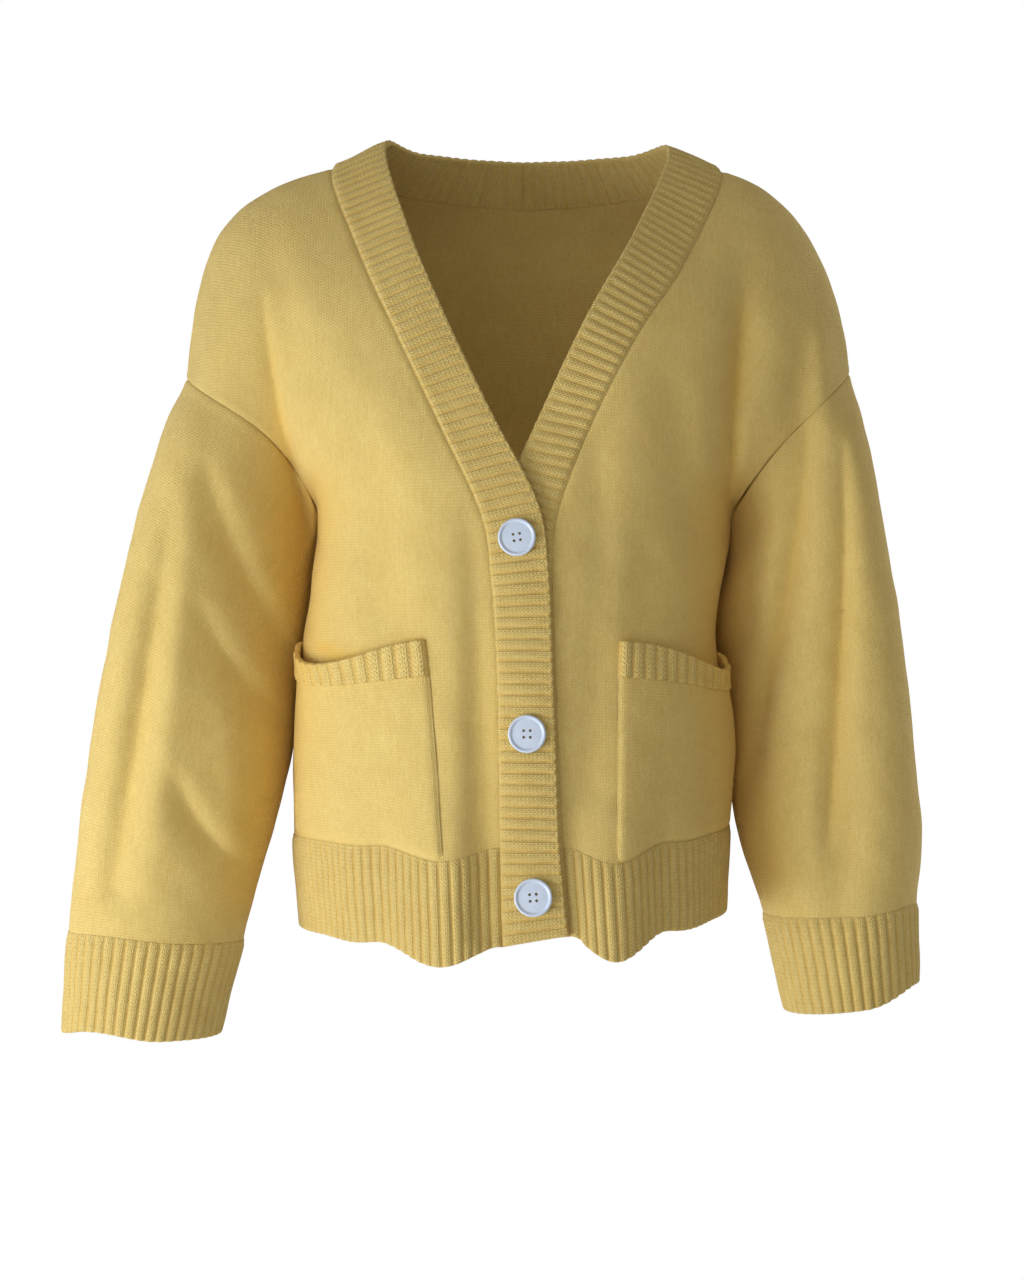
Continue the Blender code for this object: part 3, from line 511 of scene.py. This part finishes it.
def shoulder_row(side, share):
    """The shoulder seam, from the neck point to the top of the armhole."""
    row = np.array(FRONT_ROWS[-1])
    reach, end_reach = SHOULDER_REACH[side]
    start = band_seam(side, np.full_like(share, SHOULDER))
    return panel_row(side, -1, SHOULDER, share, start, row[2:5] * reach, row[6:] * end_reach)


def front_rows(side, share):
    """A front's points at a share, on each level."""
    rows = []
    for level, *row in FRONT_ROWS[:-1]:
        row = np.array(row)
        start = band_seam(side, np.full_like(share, level))
        rows.append(panel_row(side, -1, level, share, start, row[1:4] * row[0], row[5:] * row[4]))
    return np.stack((*rows, shoulder_row(side, share)))


def back_rows(side, share):
    """The back's points at a share to one side, on each level."""
    rows = []
    for level, y, z, reach, end_reach, *arrive in BACK_ROWS:
        start, arrive = mm(BACK_MIDDLE, y, z), np.array(arrive) * end_reach
        rows.append(panel_row(side, 1, level, share, start, (reach, 0, 0), arrive))
    to_neck = NECK_STATION + (SHOULDER_STATION[side] - NECK_STATION) * np.minimum(share / NECK_SHARE, 1)
    neck = strip(0, to_neck)
    shoulder = shoulder_row(side, np.maximum(share - NECK_SHARE, 0) / (1 - NECK_SHARE))
    return np.stack((*rows, np.where((share > NECK_SHARE)[..., None], shoulder, neck)))


def between_rows(rows, level, arrive):
    """Points between the rows of a panel; arrive is the slope at the top row."""
    top = SHOULDER - HEM_EDGE
    place = np.clip(level - HEM_EDGE, 0, top)
    low = np.minimum(place.astype(int), top - 1)

    def row(index):
        return np.take_along_axis(rows, np.clip(index, 0, top)[None, ..., None], axis=0)[0]

    def slope(index):
        under = np.maximum(index - 1, 0)
        own = (row(index + 1) - row(under)) / (index + 1 - under)[..., None]
        return np.where((index == top)[..., None], arrive, own)

    return hermite((place - low)[..., None], row(low), row(low + 1), slope(low), slope(low + 1))


def near_side(share):
    """1 at a panel's side, falling to 0 at three quarters of its row."""
    return (np.clip(4 * share - 3, 0, 1) ** 2)[..., None]


def front(side, share, level):
    """A front's outer surface: share is 0 at the band and 1 at the side."""
    arrive = mm(0, *FRONT_CROSSING)
    p = between_rows(front_rows(side, share), level, arrive)
    start = between_rows(front_rows(side, np.zeros_like(share)), level, arrive)
    end = between_rows(front_rows(side, np.ones_like(share)), level, arrive)
    seam = band_seam(side, level)
    p = p + (seam - start) * (np.clip(1 - 2 * share, 0, 1) ** 2)[..., None]
    p = p + (side_edge(side, level, -1) - end) * near_side(share)
    waving = 1 - ease(level, HEM_EDGE, HEM_WAVE_TOP)
    waving = waving * ease(np.abs(p[..., 0] - seam[..., 0]) / MM, 0, HEM_WAVE_START)
    for middle, half, forward, down in HEM_WAVES[side]:
        p = p + mm(0, -forward, -down) * (waving * swell(p[..., 0] / MM, middle, half))[..., None]
    return p


def back(share, level):
    """The back's outer surface: share runs from -1 at the right side to 1 at the left."""
    away = np.abs(share)
    to_neck = 1 - ease(away, 0, NECK_FADE)
    flat, rise = np.moveaxis(blend(np.array(BACK_CROSSING, float), np.array(NECK_CROSSING, float), to_neck), -1, 0)
    halves = {}
    for side in SIDES:
        p = between_rows(back_rows(side, away), level, mm(0, -flat, rise))
        end = between_rows(back_rows(side, np.ones_like(away)), level, mm(0, -BACK_CROSSING[0], BACK_CROSSING[1]))
        halves[side] = p + (side_edge(side, level, 1) - end) * near_side(away)
    return np.where((share < 0)[..., None], halves["right"], halves["left"])


def facing(surface, u, v):
    """The direction of u x v on a surface, by small steps kept inside 0 to 1 in u."""
    step = 1e-3
    du = surface(np.minimum(u + step, 1), v) - surface(np.maximum(u - step, 0), v)
    dv = surface(u, v + step) - surface(u, v - step)
    return unit(np.cross(du, dv))


def pocket(side, across, up):
    """A pocket's outer surface on its front: across from the inner to the outer edge, up from the hem seam."""
    low_in, low_out, high_in, high_out = np.array(POCKETS[side])
    sag, lowest = POCKET_SAG[side]
    turned = across ** (log(0.5) / log(lowest))
    place = blend(blend(low_in, low_out, across), blend(high_in, high_out, across), up)
    level = place[..., 0] - sag * 4 * turned * (1 - turned) * up**4
    share = place[..., 1]
    mouth = POCKET_MOUTH * up**3 * (1 - (2 * turned - 1) ** 2)
    stand = CLOTH + POCKET_STAND + mouth

    def panel(u, v):
        return creased(front(side, u, v))

    return panel(share, level) + facing(panel, share, level) * SIDES[side] * stand[..., None]


# ---- grids


def lengths(points, axis):
    """The way along the grid's lines in one direction, from 0."""
    steps = np.linalg.norm(np.diff(points, axis=axis), axis=-1)
    start = np.zeros_like(np.take(steps, [0], axis=axis))
    return np.concatenate((start, np.cumsum(steps, axis=axis)), axis=axis)


def rib_lines(curve, low, high):
    """Grid lines at even ways along a curve, for as many whole ribs as fit on it."""
    key = np.linspace(low, high, CURVE_SAMPLES)
    way = lengths(curve(key), 0)
    cells = round(way[-1] / RIB_PITCH) * RIB_CELLS
    return np.interp(np.linspace(0, way[-1], cells + 1), way, key)


def grid_lines(low, high, lines, length):
    """Grid lines from low to high over a length in metres, with a few more beside each edge."""
    at = np.linspace(low, high, lines)
    share = (at - low) / (high - low)
    close = np.array(EDGE_LINES) * MM / length
    clear = close[-1] * EDGE_CLEAR
    share = np.concatenate(([0], close, share[share > clear]))
    share = np.concatenate((share[share < 1 - clear], 1 - close[::-1], [1]))
    return low + (high - low) * share


def grid_facing(points, turn, closed):
    """The outward direction at every point of a grid."""
    if closed:
        points = np.concatenate((points[-2:-1], points, points[1:2]))
    du = np.gradient(points, axis=0)
    dv = np.gradient(points, axis=1)
    outward = unit(np.cross(du, dv)) * turn
    return outward[1:-1] if closed else outward


def edge_drop(distance, kind, thickness):
    """How far an edge lowers the outer layer, and how far it lifts the inner one."""
    if kind == "open":
        radius = thickness / 2
        away = 1 - np.clip(distance / radius, 0, 1)
        drop = OPEN_DROP * radius * (1 - np.sqrt(1 - away**2))
        return drop, drop
    if kind == "laid":
        drop = LAID_DROP * thickness * (1 - ease(distance, 0, LAID_WAY * thickness))
        return drop, 0 * drop
    if kind == "sewn":
        depth, half = GROOVE
        groove = depth * np.exp(-((distance / half) ** 2))
        height, place, half = WELT
        welt = height * np.exp(-(((distance - place) / half) ** 2))
        return groove - welt, 0 * groove
    return 0 * distance, 0 * distance


def unevenness(points):
    """A slight waviness that no knitted cloth is free of, in metres."""
    x, y, z = np.moveaxis(points, -1, 0)
    return UNEVENNESS * (
        np.sin(61 * x + 23 * z + 0.7) * np.sin(47 * z - 31 * y + 1.9)
        + 0.7 * np.sin(113 * x - 67 * y + 2.3) * np.sin(97 * z + 41 * x)
        + 0.5 * np.sin(173 * z + 89 * y) * np.sin(151 * x + 1.1)
    )


def add(name, data):
    """A new object in the scene."""
    thing = bpy.data.objects.new(name, data)
    bpy.context.scene.collection.objects.link(thing)
    return thing


def double_grid(name, columns, rows, closed):
    """A flat mesh of two layers, and each vertex's column, row and layer: 1 is the inner one."""
    bm = bmesh.new()
    bmesh.ops.create_grid(bm, x_segments=columns, y_segments=rows, size=0.5)
    new = bmesh.ops.extrude_face_region(bm, geom=bm.faces[:])["geom"]
    bmesh.ops.translate(bm, verts=[v for v in new if isinstance(v, bmesh.types.BMVert)], vec=(0, 0, -1))
    if closed:
        ends = [f for f in bm.faces if abs(abs(f.calc_center_median().x) - 0.5) < 1e-6]
        bmesh.ops.delete(bm, geom=ends, context="FACES_ONLY")
    mesh = bpy.data.meshes.new(name)
    bm.to_mesh(mesh)
    bm.free()
    spots = np.empty(len(mesh.vertices) * 3)
    mesh.vertices.foreach_get("co", spots)
    x, y, z = spots.reshape(-1, 3).T
    column = np.rint((x + 0.5) * columns).astype(int)
    row = np.rint((y + 0.5) * rows).astype(int)
    return mesh, column, row, (z < -0.5).astype(int)


def cloth(name, surface, u_at, v_at, turn, fabric, edges, wales, relief=None, closed=False):
    """One wall of cloth that stands for the solid of the same name.

    surface   points for arrays of u and v
    turn      1 if u x v runs outward on it, else -1
    fabric    its slot, its thickness and its materials, outside first
    edges     at the first u, last u, first v and last v: open, sewn, laid or none
    wales     how the stitches are counted, see on_knitting()
    relief    (outer, inner) heights over the layers
    """
    slot, thickness, finishes = fabric
    u, v = np.meshgrid(u_at, v_at, indexing="ij")
    base = surface(u, v)
    along_u, along_v = lengths(base, 0), lengths(base, 1)
    outer_lift, inner_lift = unevenness(base), np.zeros(u.shape)
    if relief is not None:
        outer_lift, inner_lift = outer_lift + relief[0], inner_lift + relief[1]
    from_edges = (along_u, along_u[-1:] - along_u, along_v, along_v[:, -1:] - along_v)
    for distance, kind in zip(from_edges, edges):
        drop, rise = edge_drop(distance, kind, thickness)
        outer_lift, inner_lift = outer_lift - drop, inner_lift + rise
    outward = grid_facing(base, turn, closed)
    layers = np.stack((base + outward * outer_lift[..., None], base + outward * (inner_lift - thickness)[..., None]))
    flat = np.stack(on_knitting(base, along_u, along_v, wales), axis=-1)

    mesh, column, row, inner = double_grid(f"{name}_cloth", len(u_at) - 1, len(v_at) - 1, closed)
    mesh.vertices.foreach_set("co", layers[inner, column, row].ravel())
    corners = np.empty(len(mesh.loops), int)
    mesh.loops.foreach_get("vertex_index", corners)
    map_layer = mesh.uv_layers.new(name="stitches")
    map_layer.uv.foreach_set("vector", flat[column, row][corners].ravel())
    # Painted shade in creases and narrow places, kept in the "depth" attribute.
    painted_shade = mesh.attributes.new("depth", "FLOAT", "POINT")
    painted_shade.data.foreach_set("value", painted_shade_in_folds(name, base)[column, row])
    inside = inner[corners].reshape(-1, 4).all(axis=1)
    for finish in finishes:
        mesh.materials.append(finish)
    mesh.polygons.foreach_set("material_index", inside.astype(int) * (len(finishes) - 1))

    bm = bmesh.new()
    bm.from_mesh(mesh)
    if closed:
        bmesh.ops.remove_doubles(bm, verts=bm.verts[:], dist=1e-7)
    bmesh.ops.recalc_face_normals(bm, faces=bm.faces[:])
    bm.to_mesh(mesh)
    bm.free()
    mesh.shade_smooth()
    piece = add(f"{name}_cloth", mesh)
    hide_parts(name)
    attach(piece, "root")


# ---- finishes


class Finish:
    """A material under construction: its nodes, and short ways to join them."""

    def __init__(self, name):
        self.material = bpy.data.materials.new(name)
        self.material.use_nodes = True
        self.tree = self.material.node_tree
        self.shader = self.tree.nodes["Principled BSDF"]

    def node(self, kind, **settings):
        node = self.tree.nodes.new(kind)
        for key, value in settings.items():
            setattr(node, key, value)
        return node

    def join(self, source, socket):
        self.tree.links.new(source, socket)

    def maths(self, operation, *values):
        """The result of one sum on sockets and numbers."""
        node = self.node("ShaderNodeMath", operation=operation)
        for socket, value in zip(node.inputs, values):
            if isinstance(value, (int, float)):
                socket.default_value = value
            else:
                self.join(value, socket)
        return node.outputs["Value"]

    def noise(self, vector, scale, detail=2.0, roughness=0.5):
        node = self.node("ShaderNodeTexNoise")
        node.inputs["Scale"].default_value = scale
        node.inputs["Detail"].default_value = detail
        node.inputs["Roughness"].default_value = roughness
        self.join(vector, node.inputs["Vector"])
        return node.outputs["Fac"]

    def vector(self, x, y):
        node = self.node("ShaderNodeCombineXYZ")
        self.join(x, node.inputs["X"])
        self.join(y, node.inputs["Y"])
        return node.outputs["Vector"]

    def between(self, share, low, high):
        """A colour between two colours."""
        node = self.node("ShaderNodeMix", data_type="RGBA")
        self.join(share, node.inputs["Factor"])
        for socket, colour in ((node.inputs[6], low), (node.inputs[7], high)):
            if isinstance(colour, tuple):
                socket.default_value = (*colour, 1)
            else:
                self.join(colour, socket)
        return node.outputs[2]

    def bump(self, height, distance):
        node = self.node("ShaderNodeBump")
        node.inputs["Strength"].default_value = 1
        node.inputs["Distance"].default_value = distance
        self.join(height, node.inputs["Height"])
        self.join(node.outputs["Normal"], self.shader.inputs["Normal"])

    def set(self, values):
        """Numbers and colours that are the same all over the surface."""
        for socket, value in values.items():
            self.shader.inputs[socket].default_value = value

    def clamped(self, value):
        return self.maths("MAXIMUM", self.maths("MINIMUM", value, 1), 0)

    def arches(self, value):
        """An arch from 0 over 1 to 0 between every two whole numbers."""
        return self.maths("ABSOLUTE", self.maths("SINE", self.maths("MULTIPLY", value, pi)))

    def dipping(self, value, dip):
        """1 where the value is 1, and less by the dip where it is 0."""
        return self.maths("MULTIPLY_ADD", value, dip, 1 - dip)


def v_stitches(finish, wales, courses):
    """The height of plain knit stitches, two leaning legs to each."""
    sums = finish.maths
    aside = sums("ABSOLUTE", sums("SUBTRACT", sums("FRACT", wales), 0.5))
    over_leg = sums("SINE", sums("MULTIPLY", aside, 2 * pi))
    leaning = sums("SUBTRACT", courses, sums("MULTIPLY", aside, LEG_SLANT))
    along_leg = sums("POWER", finish.arches(leaning), ROW_ROUNDNESS)
    return sums("MULTIPLY", finish.dipping(over_leg, LEG_DIP), finish.dipping(along_leg, ROW_DIP))


def purl_bumps(finish, wales, courses):
    """The height of purl stitches: short level arcs, each row half a stitch from the next."""
    sums = finish.maths
    shifted = sums("MULTIPLY_ADD", sums("FLOOR", courses), 0.5, wales)
    level = sums("POWER", finish.arches(courses), ROW_ROUNDNESS)
    return sums("MULTIPLY", level, finish.dipping(finish.arches(shifted), PURL_DIP))


def yarn(finish, counts, height, depth, contrast):
    """Soft brushed yarn over a stitch height: its colour, with shade painted into its hollows and creases, its nap
    and fuzz.
    """
    sums = finish.maths
    wales, courses = counts
    place = finish.node("ShaderNodeTexCoord").outputs["Object"]
    fuzz = finish.noise(place, FUZZ_SCALE, detail=3, roughness=0.7)
    cloudy = finish.noise(place, CLOUD_SCALE, detail=3, roughness=0.55)
    streaked = (sums("MULTIPLY", count, scale) for count, scale in zip(counts, STREAK_SCALES))
    streaks = finish.noise(finish.vector(*streaked), 1)
    each = finish.vector(sums("FLOOR", sums("MULTIPLY", wales, 2)), sums("FLOOR", courses))
    chance = finish.node("ShaderNodeTexWhiteNoise", noise_dimensions="2D")
    finish.join(each, chance.inputs["Vector"])
    # Painted shade: the lower the stitch, the darker the colour; the noises below add random tone.
    shade = sums("MULTIPLY_ADD", height, contrast, MIDDLE_SHADE - contrast / 2)
    for part, share in zip((fuzz, cloudy, streaks, chance.outputs["Value"]), SHADES):
        shade = sums("MULTIPLY_ADD", sums("SUBTRACT", part, 0.5), share, shade)
    colour = finish.between(finish.clamped(shade), YARN_SHADE_AND_DARK_TONE, YARN)
    # Painted shade: creases and narrow places turn the colour towards a shaded orange.
    painted_shade = finish.node("ShaderNodeAttribute", attribute_name="depth").outputs["Fac"]
    finish.join(finish.between(painted_shade, colour, YARN_PAINTED_SHADE), finish.shader.inputs["Base Color"])
    finish.bump(sums("MULTIPLY_ADD", fuzz, FUZZ_HEIGHT, height), depth)
    finish.set(YARN_SHADER)
    return finish.material


def stitch_counts(finish, wale, course, wander):
    """Wales and courses counted over the piece's own map, drawn a little out of line by the yarn."""
    sums = finish.maths
    flat = finish.node("ShaderNodeUVMap", uv_map="stitches").outputs["UV"]
    place = finish.node("ShaderNodeTexCoord").outputs["Object"]
    parts = finish.node("ShaderNodeSeparateXYZ")
    finish.join(flat, parts.inputs[0])
    wobble = sums("SUBTRACT", finish.noise(place, WOBBLE_SCALE), 0.5)
    wales = sums("MULTIPLY_ADD", wobble, wander, sums("DIVIDE", parts.outputs["X"], wale))
    courses = sums("MULTIPLY_ADD", wobble, -wander, sums("DIVIDE", parts.outputs["Y"], course))
    return wales, courses


def stockinette(name, stitches, depth):
    """Plain knitting, with knit stitches on its face or purl bumps on its reverse."""
    finish = Finish(name)
    counts = stitch_counts(finish, WALE, COURSE, wander=0.6)
    # The contrast sets how much shade is painted into the stitches' low parts.
    return yarn(finish, counts, stitches(finish, *counts), depth, contrast=0.4)


def ribbing():
    """Ribs of two knit wales with a purl wale in the hollow between them."""
    finish = Finish("ribbing")
    sums = finish.maths
    ribs, courses = stitch_counts(finish, RIB_PITCH, RIB_COURSE, wander=0.12)
    thirds = sums("SUBTRACT", sums("MULTIPLY", ribs, 3), 0.5)
    slope, shift, dip = RIB_HOLLOW
    hollow = sums("MULTIPLY_ADD", sums("COSINE", sums("MULTIPLY", ribs, 2 * pi)), slope, shift)
    lowered = sums("MULTIPLY_ADD", finish.clamped(hollow), dip, 1)
    both = sums("MULTIPLY", v_stitches(finish, thirds, courses), lowered)
    # Painted shade: the low hollows between ribs are coloured darker, with a strong contrast.
    return yarn(finish, (thirds, courses), both, depth=0.0009, contrast=0.85)


def button_white():
    """A hard gloss with faint clouds and a slightly uneven skin."""
    finish = Finish("button_white")
    place = finish.node("ShaderNodeTexCoord").outputs["Object"]
    clouds = finish.noise(place, 90)
    finish.join(finish.between(clouds, *BUTTON_COLOURS), finish.shader.inputs["Base Color"])
    finish.bump(finish.noise(place, 500), 0.00003)
    finish.set(BUTTON_SHADER)
    return finish.material


# ---- pieces


def rib_relief(lines, across):
    """Ribs that follow each other along u: heights of the outer and inner layer."""
    phase = np.arange(lines) / RIB_CELLS % 1
    ridge = 1 - np.abs(2 * phase - 1) ** RIB_ROUNDNESS
    ridge = np.repeat(ridge[:, None], across, axis=1)
    return RIB_HEIGHT * ridge, RIB_HEIGHT * RIB_INSIDE * (ridge - 1)


def risen(way):
    """The share of their height that ribs have at a way from their seam."""
    return RIB_AT_SEAM + (1 - RIB_AT_SEAM) * ease(way, 0, RIB_RISE)


def on_knitting(points, along_u, along_v, wales):
    """Where the grid's points lie on the flat knitting, in metres across its wales and up its courses.

    wales     from where they are counted: ribs, level ribs, upright, first or middle line
    """
    up = np.broadcast_to(along_v.mean(axis=0), along_v.shape)
    if wales == "level ribs":
        return np.broadcast_to(np.arange(along_u.shape[1]) / RIB_CELLS * RIB_PITCH, along_u.shape), along_u
    if wales == "ribs":
        return np.broadcast_to((np.arange(len(along_u)) / RIB_CELLS * RIB_PITCH)[:, None], along_u.shape), up
    if wales == "upright":
        away = np.abs(points[..., 0])
        start = [np.interp(WALE_LINE, x, way, left=WALE_LINE - x[0]) for x, way in zip(away.T, along_u.T)]
        return along_u - np.array(start), up
    return along_u - along_u[0 if wales == "first" else len(along_u) // 2], up


def make_band(side):
    """Half of the front band, from a hem edge to the middle of the back neck."""
    low, high = (0, NECK_STATION) if side == "right" else (NECK_STATION, STATIONS)

    def surface(u, v):
        return creased(strip(u, v)) + facing(strip, u, v) * (-BAND_TURN * u**2)[..., None]

    stations = rib_lines(partial(strip, 0.5), low, high)
    across = grid_lines(0, 1, *BAND_ACROSS)
    outer, inner = (layer.T for layer in rib_relief(len(stations), len(across)))
    place, half, height = SELVEDGE
    cord = np.exp(-((((1 - across) * BAND_WIDTH - place) / half) ** 2))[:, None]
    outer = outer * (1 - cord) + height * cord
    outer = outer * ease(across * BAND_WIDTH, 0, BAND_RISE)[:, None]
    ends = ("open", "none") if side == "right" else ("none", "open")
    cloth(f"band_{side}", surface, across, stations, 1, RIB, ("sewn", "open", *ends), "level ribs", (outer, inner))


def make_panel(name, plain, turn, ends, across, up, wales):
    """A panel from one end of its rows to the other, and the ribbed hem under it."""

    def surface(u, v):
        return creased(plain(u, v))

    shares = grid_lines(*ends, *across)
    levels = grid_lines(HEM_SEAM + HEM_GAP, SHOULDER - SHOULDER_GAP, *up)
    cloth(name, surface, shares, levels, turn, KNIT, ("sewn", "sewn", "none", "sewn"), wales)

    shares = rib_lines(lambda u: surface(u, np.full_like(u, HEM_MIDDLE)), *ends)
    levels = grid_lines(HEM_EDGE, HEM_SEAM - HEM_GAP, *HEM_UP)
    outer, inner = rib_relief(len(shares), len(levels))
    outer = outer * risen((HEM_SEAM - levels) * HEM_UP[1])
    edges = ("sewn", "sewn", "open", "none")
    cloth(f"hem_{name}", surface, shares, levels, turn, RIB, edges, "ribs", (outer, inner))


def make_front(side):
    gap = SEAM_GAP / FRONT_ACROSS[1]
    ends = (gap, 1 - gap)
    make_panel(f"front_{side}", partial(front, side), SIDES[side], ends, FRONT_ACROSS, FRONT_UP, "upright")


def make_back():
    gap = SEAM_GAP / BACK_HALF
    make_panel("back", back, -1, (gap - 1, 1 - gap), BACK_ACROSS, BACK_UP, "middle")


def make_sleeve(side):
    """A sleeve and its ribbed cuff, both closed rings of cloth."""

    def surface(u, v):
        lower = UNDERARM_GAP * np.maximum(0, np.cos(2 * pi * u)) ** 3 * np.maximum(0, 1 - v / CUFF_SHARE)
        return creased(sleeve(side, u % 1, v + lower))

    gap = SEAM_GAP / SLEEVE_ALONG[1]
    turn = -SIDES[side]
    around = np.linspace(0, 1, SLEEVE_AROUND)
    shares = grid_lines(gap, CUFF_SHARE - gap, *SLEEVE_ALONG)
    edges = ("none", "none", "sewn", "none")
    cloth(f"sleeve_{side}", surface, around, shares, turn, KNIT, edges, "middle", closed=True)

    around = rib_lines(lambda u: surface(u, np.full_like(u, CUFF_MIDDLE)), 0, 1)
    shares = grid_lines(CUFF_SHARE + gap, 1, *CUFF_ALONG)
    outer, inner = rib_relief(len(around), len(shares))
    outer = outer * risen((shares - CUFF_SHARE) * SLEEVE_LENGTH)
    edges = ("none", "none", "none", "open")
    cloth(f"cuff_{side}", surface, around, shares, turn, RIB, edges, "ribs", (outer, inner), closed=True)


def make_pocket(side):
    """A patch pocket and its ribbed top."""
    surface = partial(pocket, side)
    gap = SEAM_GAP / POCKET_HEIGHT
    turn = SIDES[side]
    across = grid_lines(0, 1, *POCKET_ACROSS)
    up = grid_lines(0, POCKET_RIB_SHARE - gap, *POCKET_UP)
    cloth(f"pocket_{side}", surface, across, up, turn, KNIT, ("laid", "laid", "laid", "none"), "first")

    across = np.linspace(0, 1, POCKET_RIBS * RIB_CELLS + 1)
    up = grid_lines(POCKET_RIB_SHARE + gap, 1, *POCKET_RIB_UP)
    relief = rib_relief(len(across), len(up))
    edges = ("laid", "laid", "none", "open")
    cloth(f"pocket_rib_{side}", surface, across, up, turn, POCKET_RIB, edges, "ribs", relief)


def drilled(piece, cutter):
    """The piece's mesh with the cutter taken out of it."""
    cut = piece.modifiers.new("holes", "BOOLEAN")
    cut.operation = "DIFFERENCE"
    cut.object = cutter
    seen = piece.evaluated_get(bpy.context.evaluated_depsgraph_get())
    mesh = bpy.data.meshes.new_from_object(seen)
    piece.modifiers.clear()
    piece.data = mesh
    bpy.data.objects.remove(cutter)
    return mesh


def make_button(name, station):
    """A turned button with a raised rim and four holes, lying on the ribs of the upper band."""
    bm = bmesh.new()
    outline = [bm.verts.new((r * MM, 0, h * MM)) for r, h in BUTTON_PROFILE]
    edges = [bm.edges.new(pair) for pair in zip(outline, outline[1:])]
    bmesh.ops.spin(
        bm, geom=outline + edges, axis=(0, 0, 1), cent=(0, 0, 0), steps=BUTTON_STEPS, angle=2 * pi, use_merge=True
    )
    bmesh.ops.remove_doubles(bm, verts=bm.verts[:], dist=1e-6)
    bmesh.ops.recalc_face_normals(bm, faces=bm.faces[:])

    def on_band(u, v):
        return creased(strip(u, v))

    here, there = np.array([BUTTON_ACROSS]), np.array([float(station)])
    up = Vector(facing(on_band, here, there)[0])
    across = Vector((strip(1, there) - strip(0, there))[0]).normalized()
    middle = Vector(on_band(here, there)[0]) + up * (RIB_HEIGHT + SEAM_GAP)
    place = Matrix.Translation(middle) @ Matrix((across, up.cross(across), up)).transposed().to_4x4()

    drills = bmesh.new()
    for number in range(HOLES):
        angle = 2 * pi * (number + 0.5) / HOLES
        shift = Matrix.Translation((HOLE_DISTANCE * cos(angle), HOLE_DISTANCE * sin(angle), 0))
        sizes = {"radius1": HOLE_RADIUS, "radius2": HOLE_RADIUS, "depth": DRILL_LENGTH, "segments": HOLE_STEPS}
        bmesh.ops.create_cone(drills, cap_ends=True, matrix=shift, **sizes)
    pair = []
    for part, label in ((bm, name), (drills, f"{name}_drills")):
        bmesh.ops.transform(part, matrix=place, verts=part.verts[:])
        mesh = bpy.data.meshes.new(label)
        part.to_mesh(mesh)
        part.free()
        pair.append(add(label, mesh))
    piece = pair[0]
    mesh = drilled(*pair)
    mesh.shade_smooth()
    mesh.set_sharp_from_angle(angle=radians(BUTTON_EDGE))
    mesh.materials.clear()
    mesh.materials.append(WHITE)
    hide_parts(name)
    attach(piece, "root")


# ---- studio


def white_to_the_eye(tree, lit, socket):
    """Plain white where it is seen itself, while the garment is lit by the given shader."""
    glow = tree.nodes.new("ShaderNodeBackground" if socket.node.type == "OUTPUT_WORLD" else "ShaderNodeEmission")
    glow.inputs["Color"].default_value = (1, 1, 1, 1)
    mix = tree.nodes.new("ShaderNodeMixShader")
    rays = tree.nodes.new("ShaderNodeLightPath")
    tree.links.new(rays.outputs["Is Camera Ray"], mix.inputs[0])
    tree.links.new(lit, mix.inputs[1])
    tree.links.new(glow.outputs[0], mix.inputs[2])
    tree.links.new(mix.outputs[0], socket)


def make_floor():
    finish = Finish("floor_white")
    finish.set(FLOOR_SHADER)
    surface = finish.tree.nodes["Material Output"].inputs["Surface"]
    white_to_the_eye(finish.tree, finish.shader.outputs["BSDF"], surface)
    bm = bmesh.new()
    bmesh.ops.create_circle(bm, cap_ends=True, segments=96, radius=FLOOR_RADIUS)
    bmesh.ops.translate(bm, verts=bm.verts[:], vec=(0, 0, FLOOR))
    mesh = bpy.data.meshes.new("floor")
    bm.to_mesh(mesh)
    bm.free()
    mesh.materials.append(finish.material)
    floor = add("floor", mesh)


def make_studio():
    """A pale floor, an even sky, soft lights and the camera."""
    make_floor()
    world = bpy.data.worlds.new("studio")
    world.use_nodes = True
    sky = world.node_tree.nodes["Background"]
    sky.inputs["Color"].default_value = SKY_COLOUR
    sky.inputs["Strength"].default_value = SKY_STRENGTH
    white_to_the_eye(world.node_tree, sky.outputs[0], world.node_tree.nodes["World Output"].inputs["Surface"])
    bpy.context.scene.world = world

    for name, place, width, power in LIGHTS:
        lamp = bpy.data.lights.new(name, "AREA")
        lamp.shape = "SQUARE"
        lamp.size = width
        lamp.energy = power
        light = add(name, lamp)
        light.location = place
        light.rotation_euler = (Vector(LIT_POINT) - Vector(place)).to_track_quat("-Z", "Y").to_euler()

    lens = bpy.data.cameras.new("camera")
    lens.sensor_fit = "VERTICAL"
    lens.sensor_height = SENSOR
    lens.lens = LENS
    camera = add("camera", lens)
    camera.location = CAMERA
    camera.rotation_euler = (radians(90), 0, 0)
    bpy.context.scene.camera = camera
    bpy.context.scene.view_settings.view_transform = "Standard"


# Fabrics: slot, thickness, and materials with the outside first.
STOCKINETTE = stockinette("stockinette", v_stitches, depth=0.00045)
REVERSE = stockinette("reverse_stockinette", purl_bumps, depth=0.0005)
RIBBING = ribbing()
KNIT = ("knit", CLOTH, (STOCKINETTE, REVERSE))
RIB = ("rib", RIB_CLOTH, (RIBBING,))
POCKET_RIB = ("rib", CLOTH, (RIBBING,))
WHITE = button_white()

make_studio()
make_back()
for side in SIDES:
    make_band(side)
    make_front(side)
    make_sleeve(side)
    make_pocket(side)
for name, station in BUTTON_STATIONS.items():
    make_button(name, station)
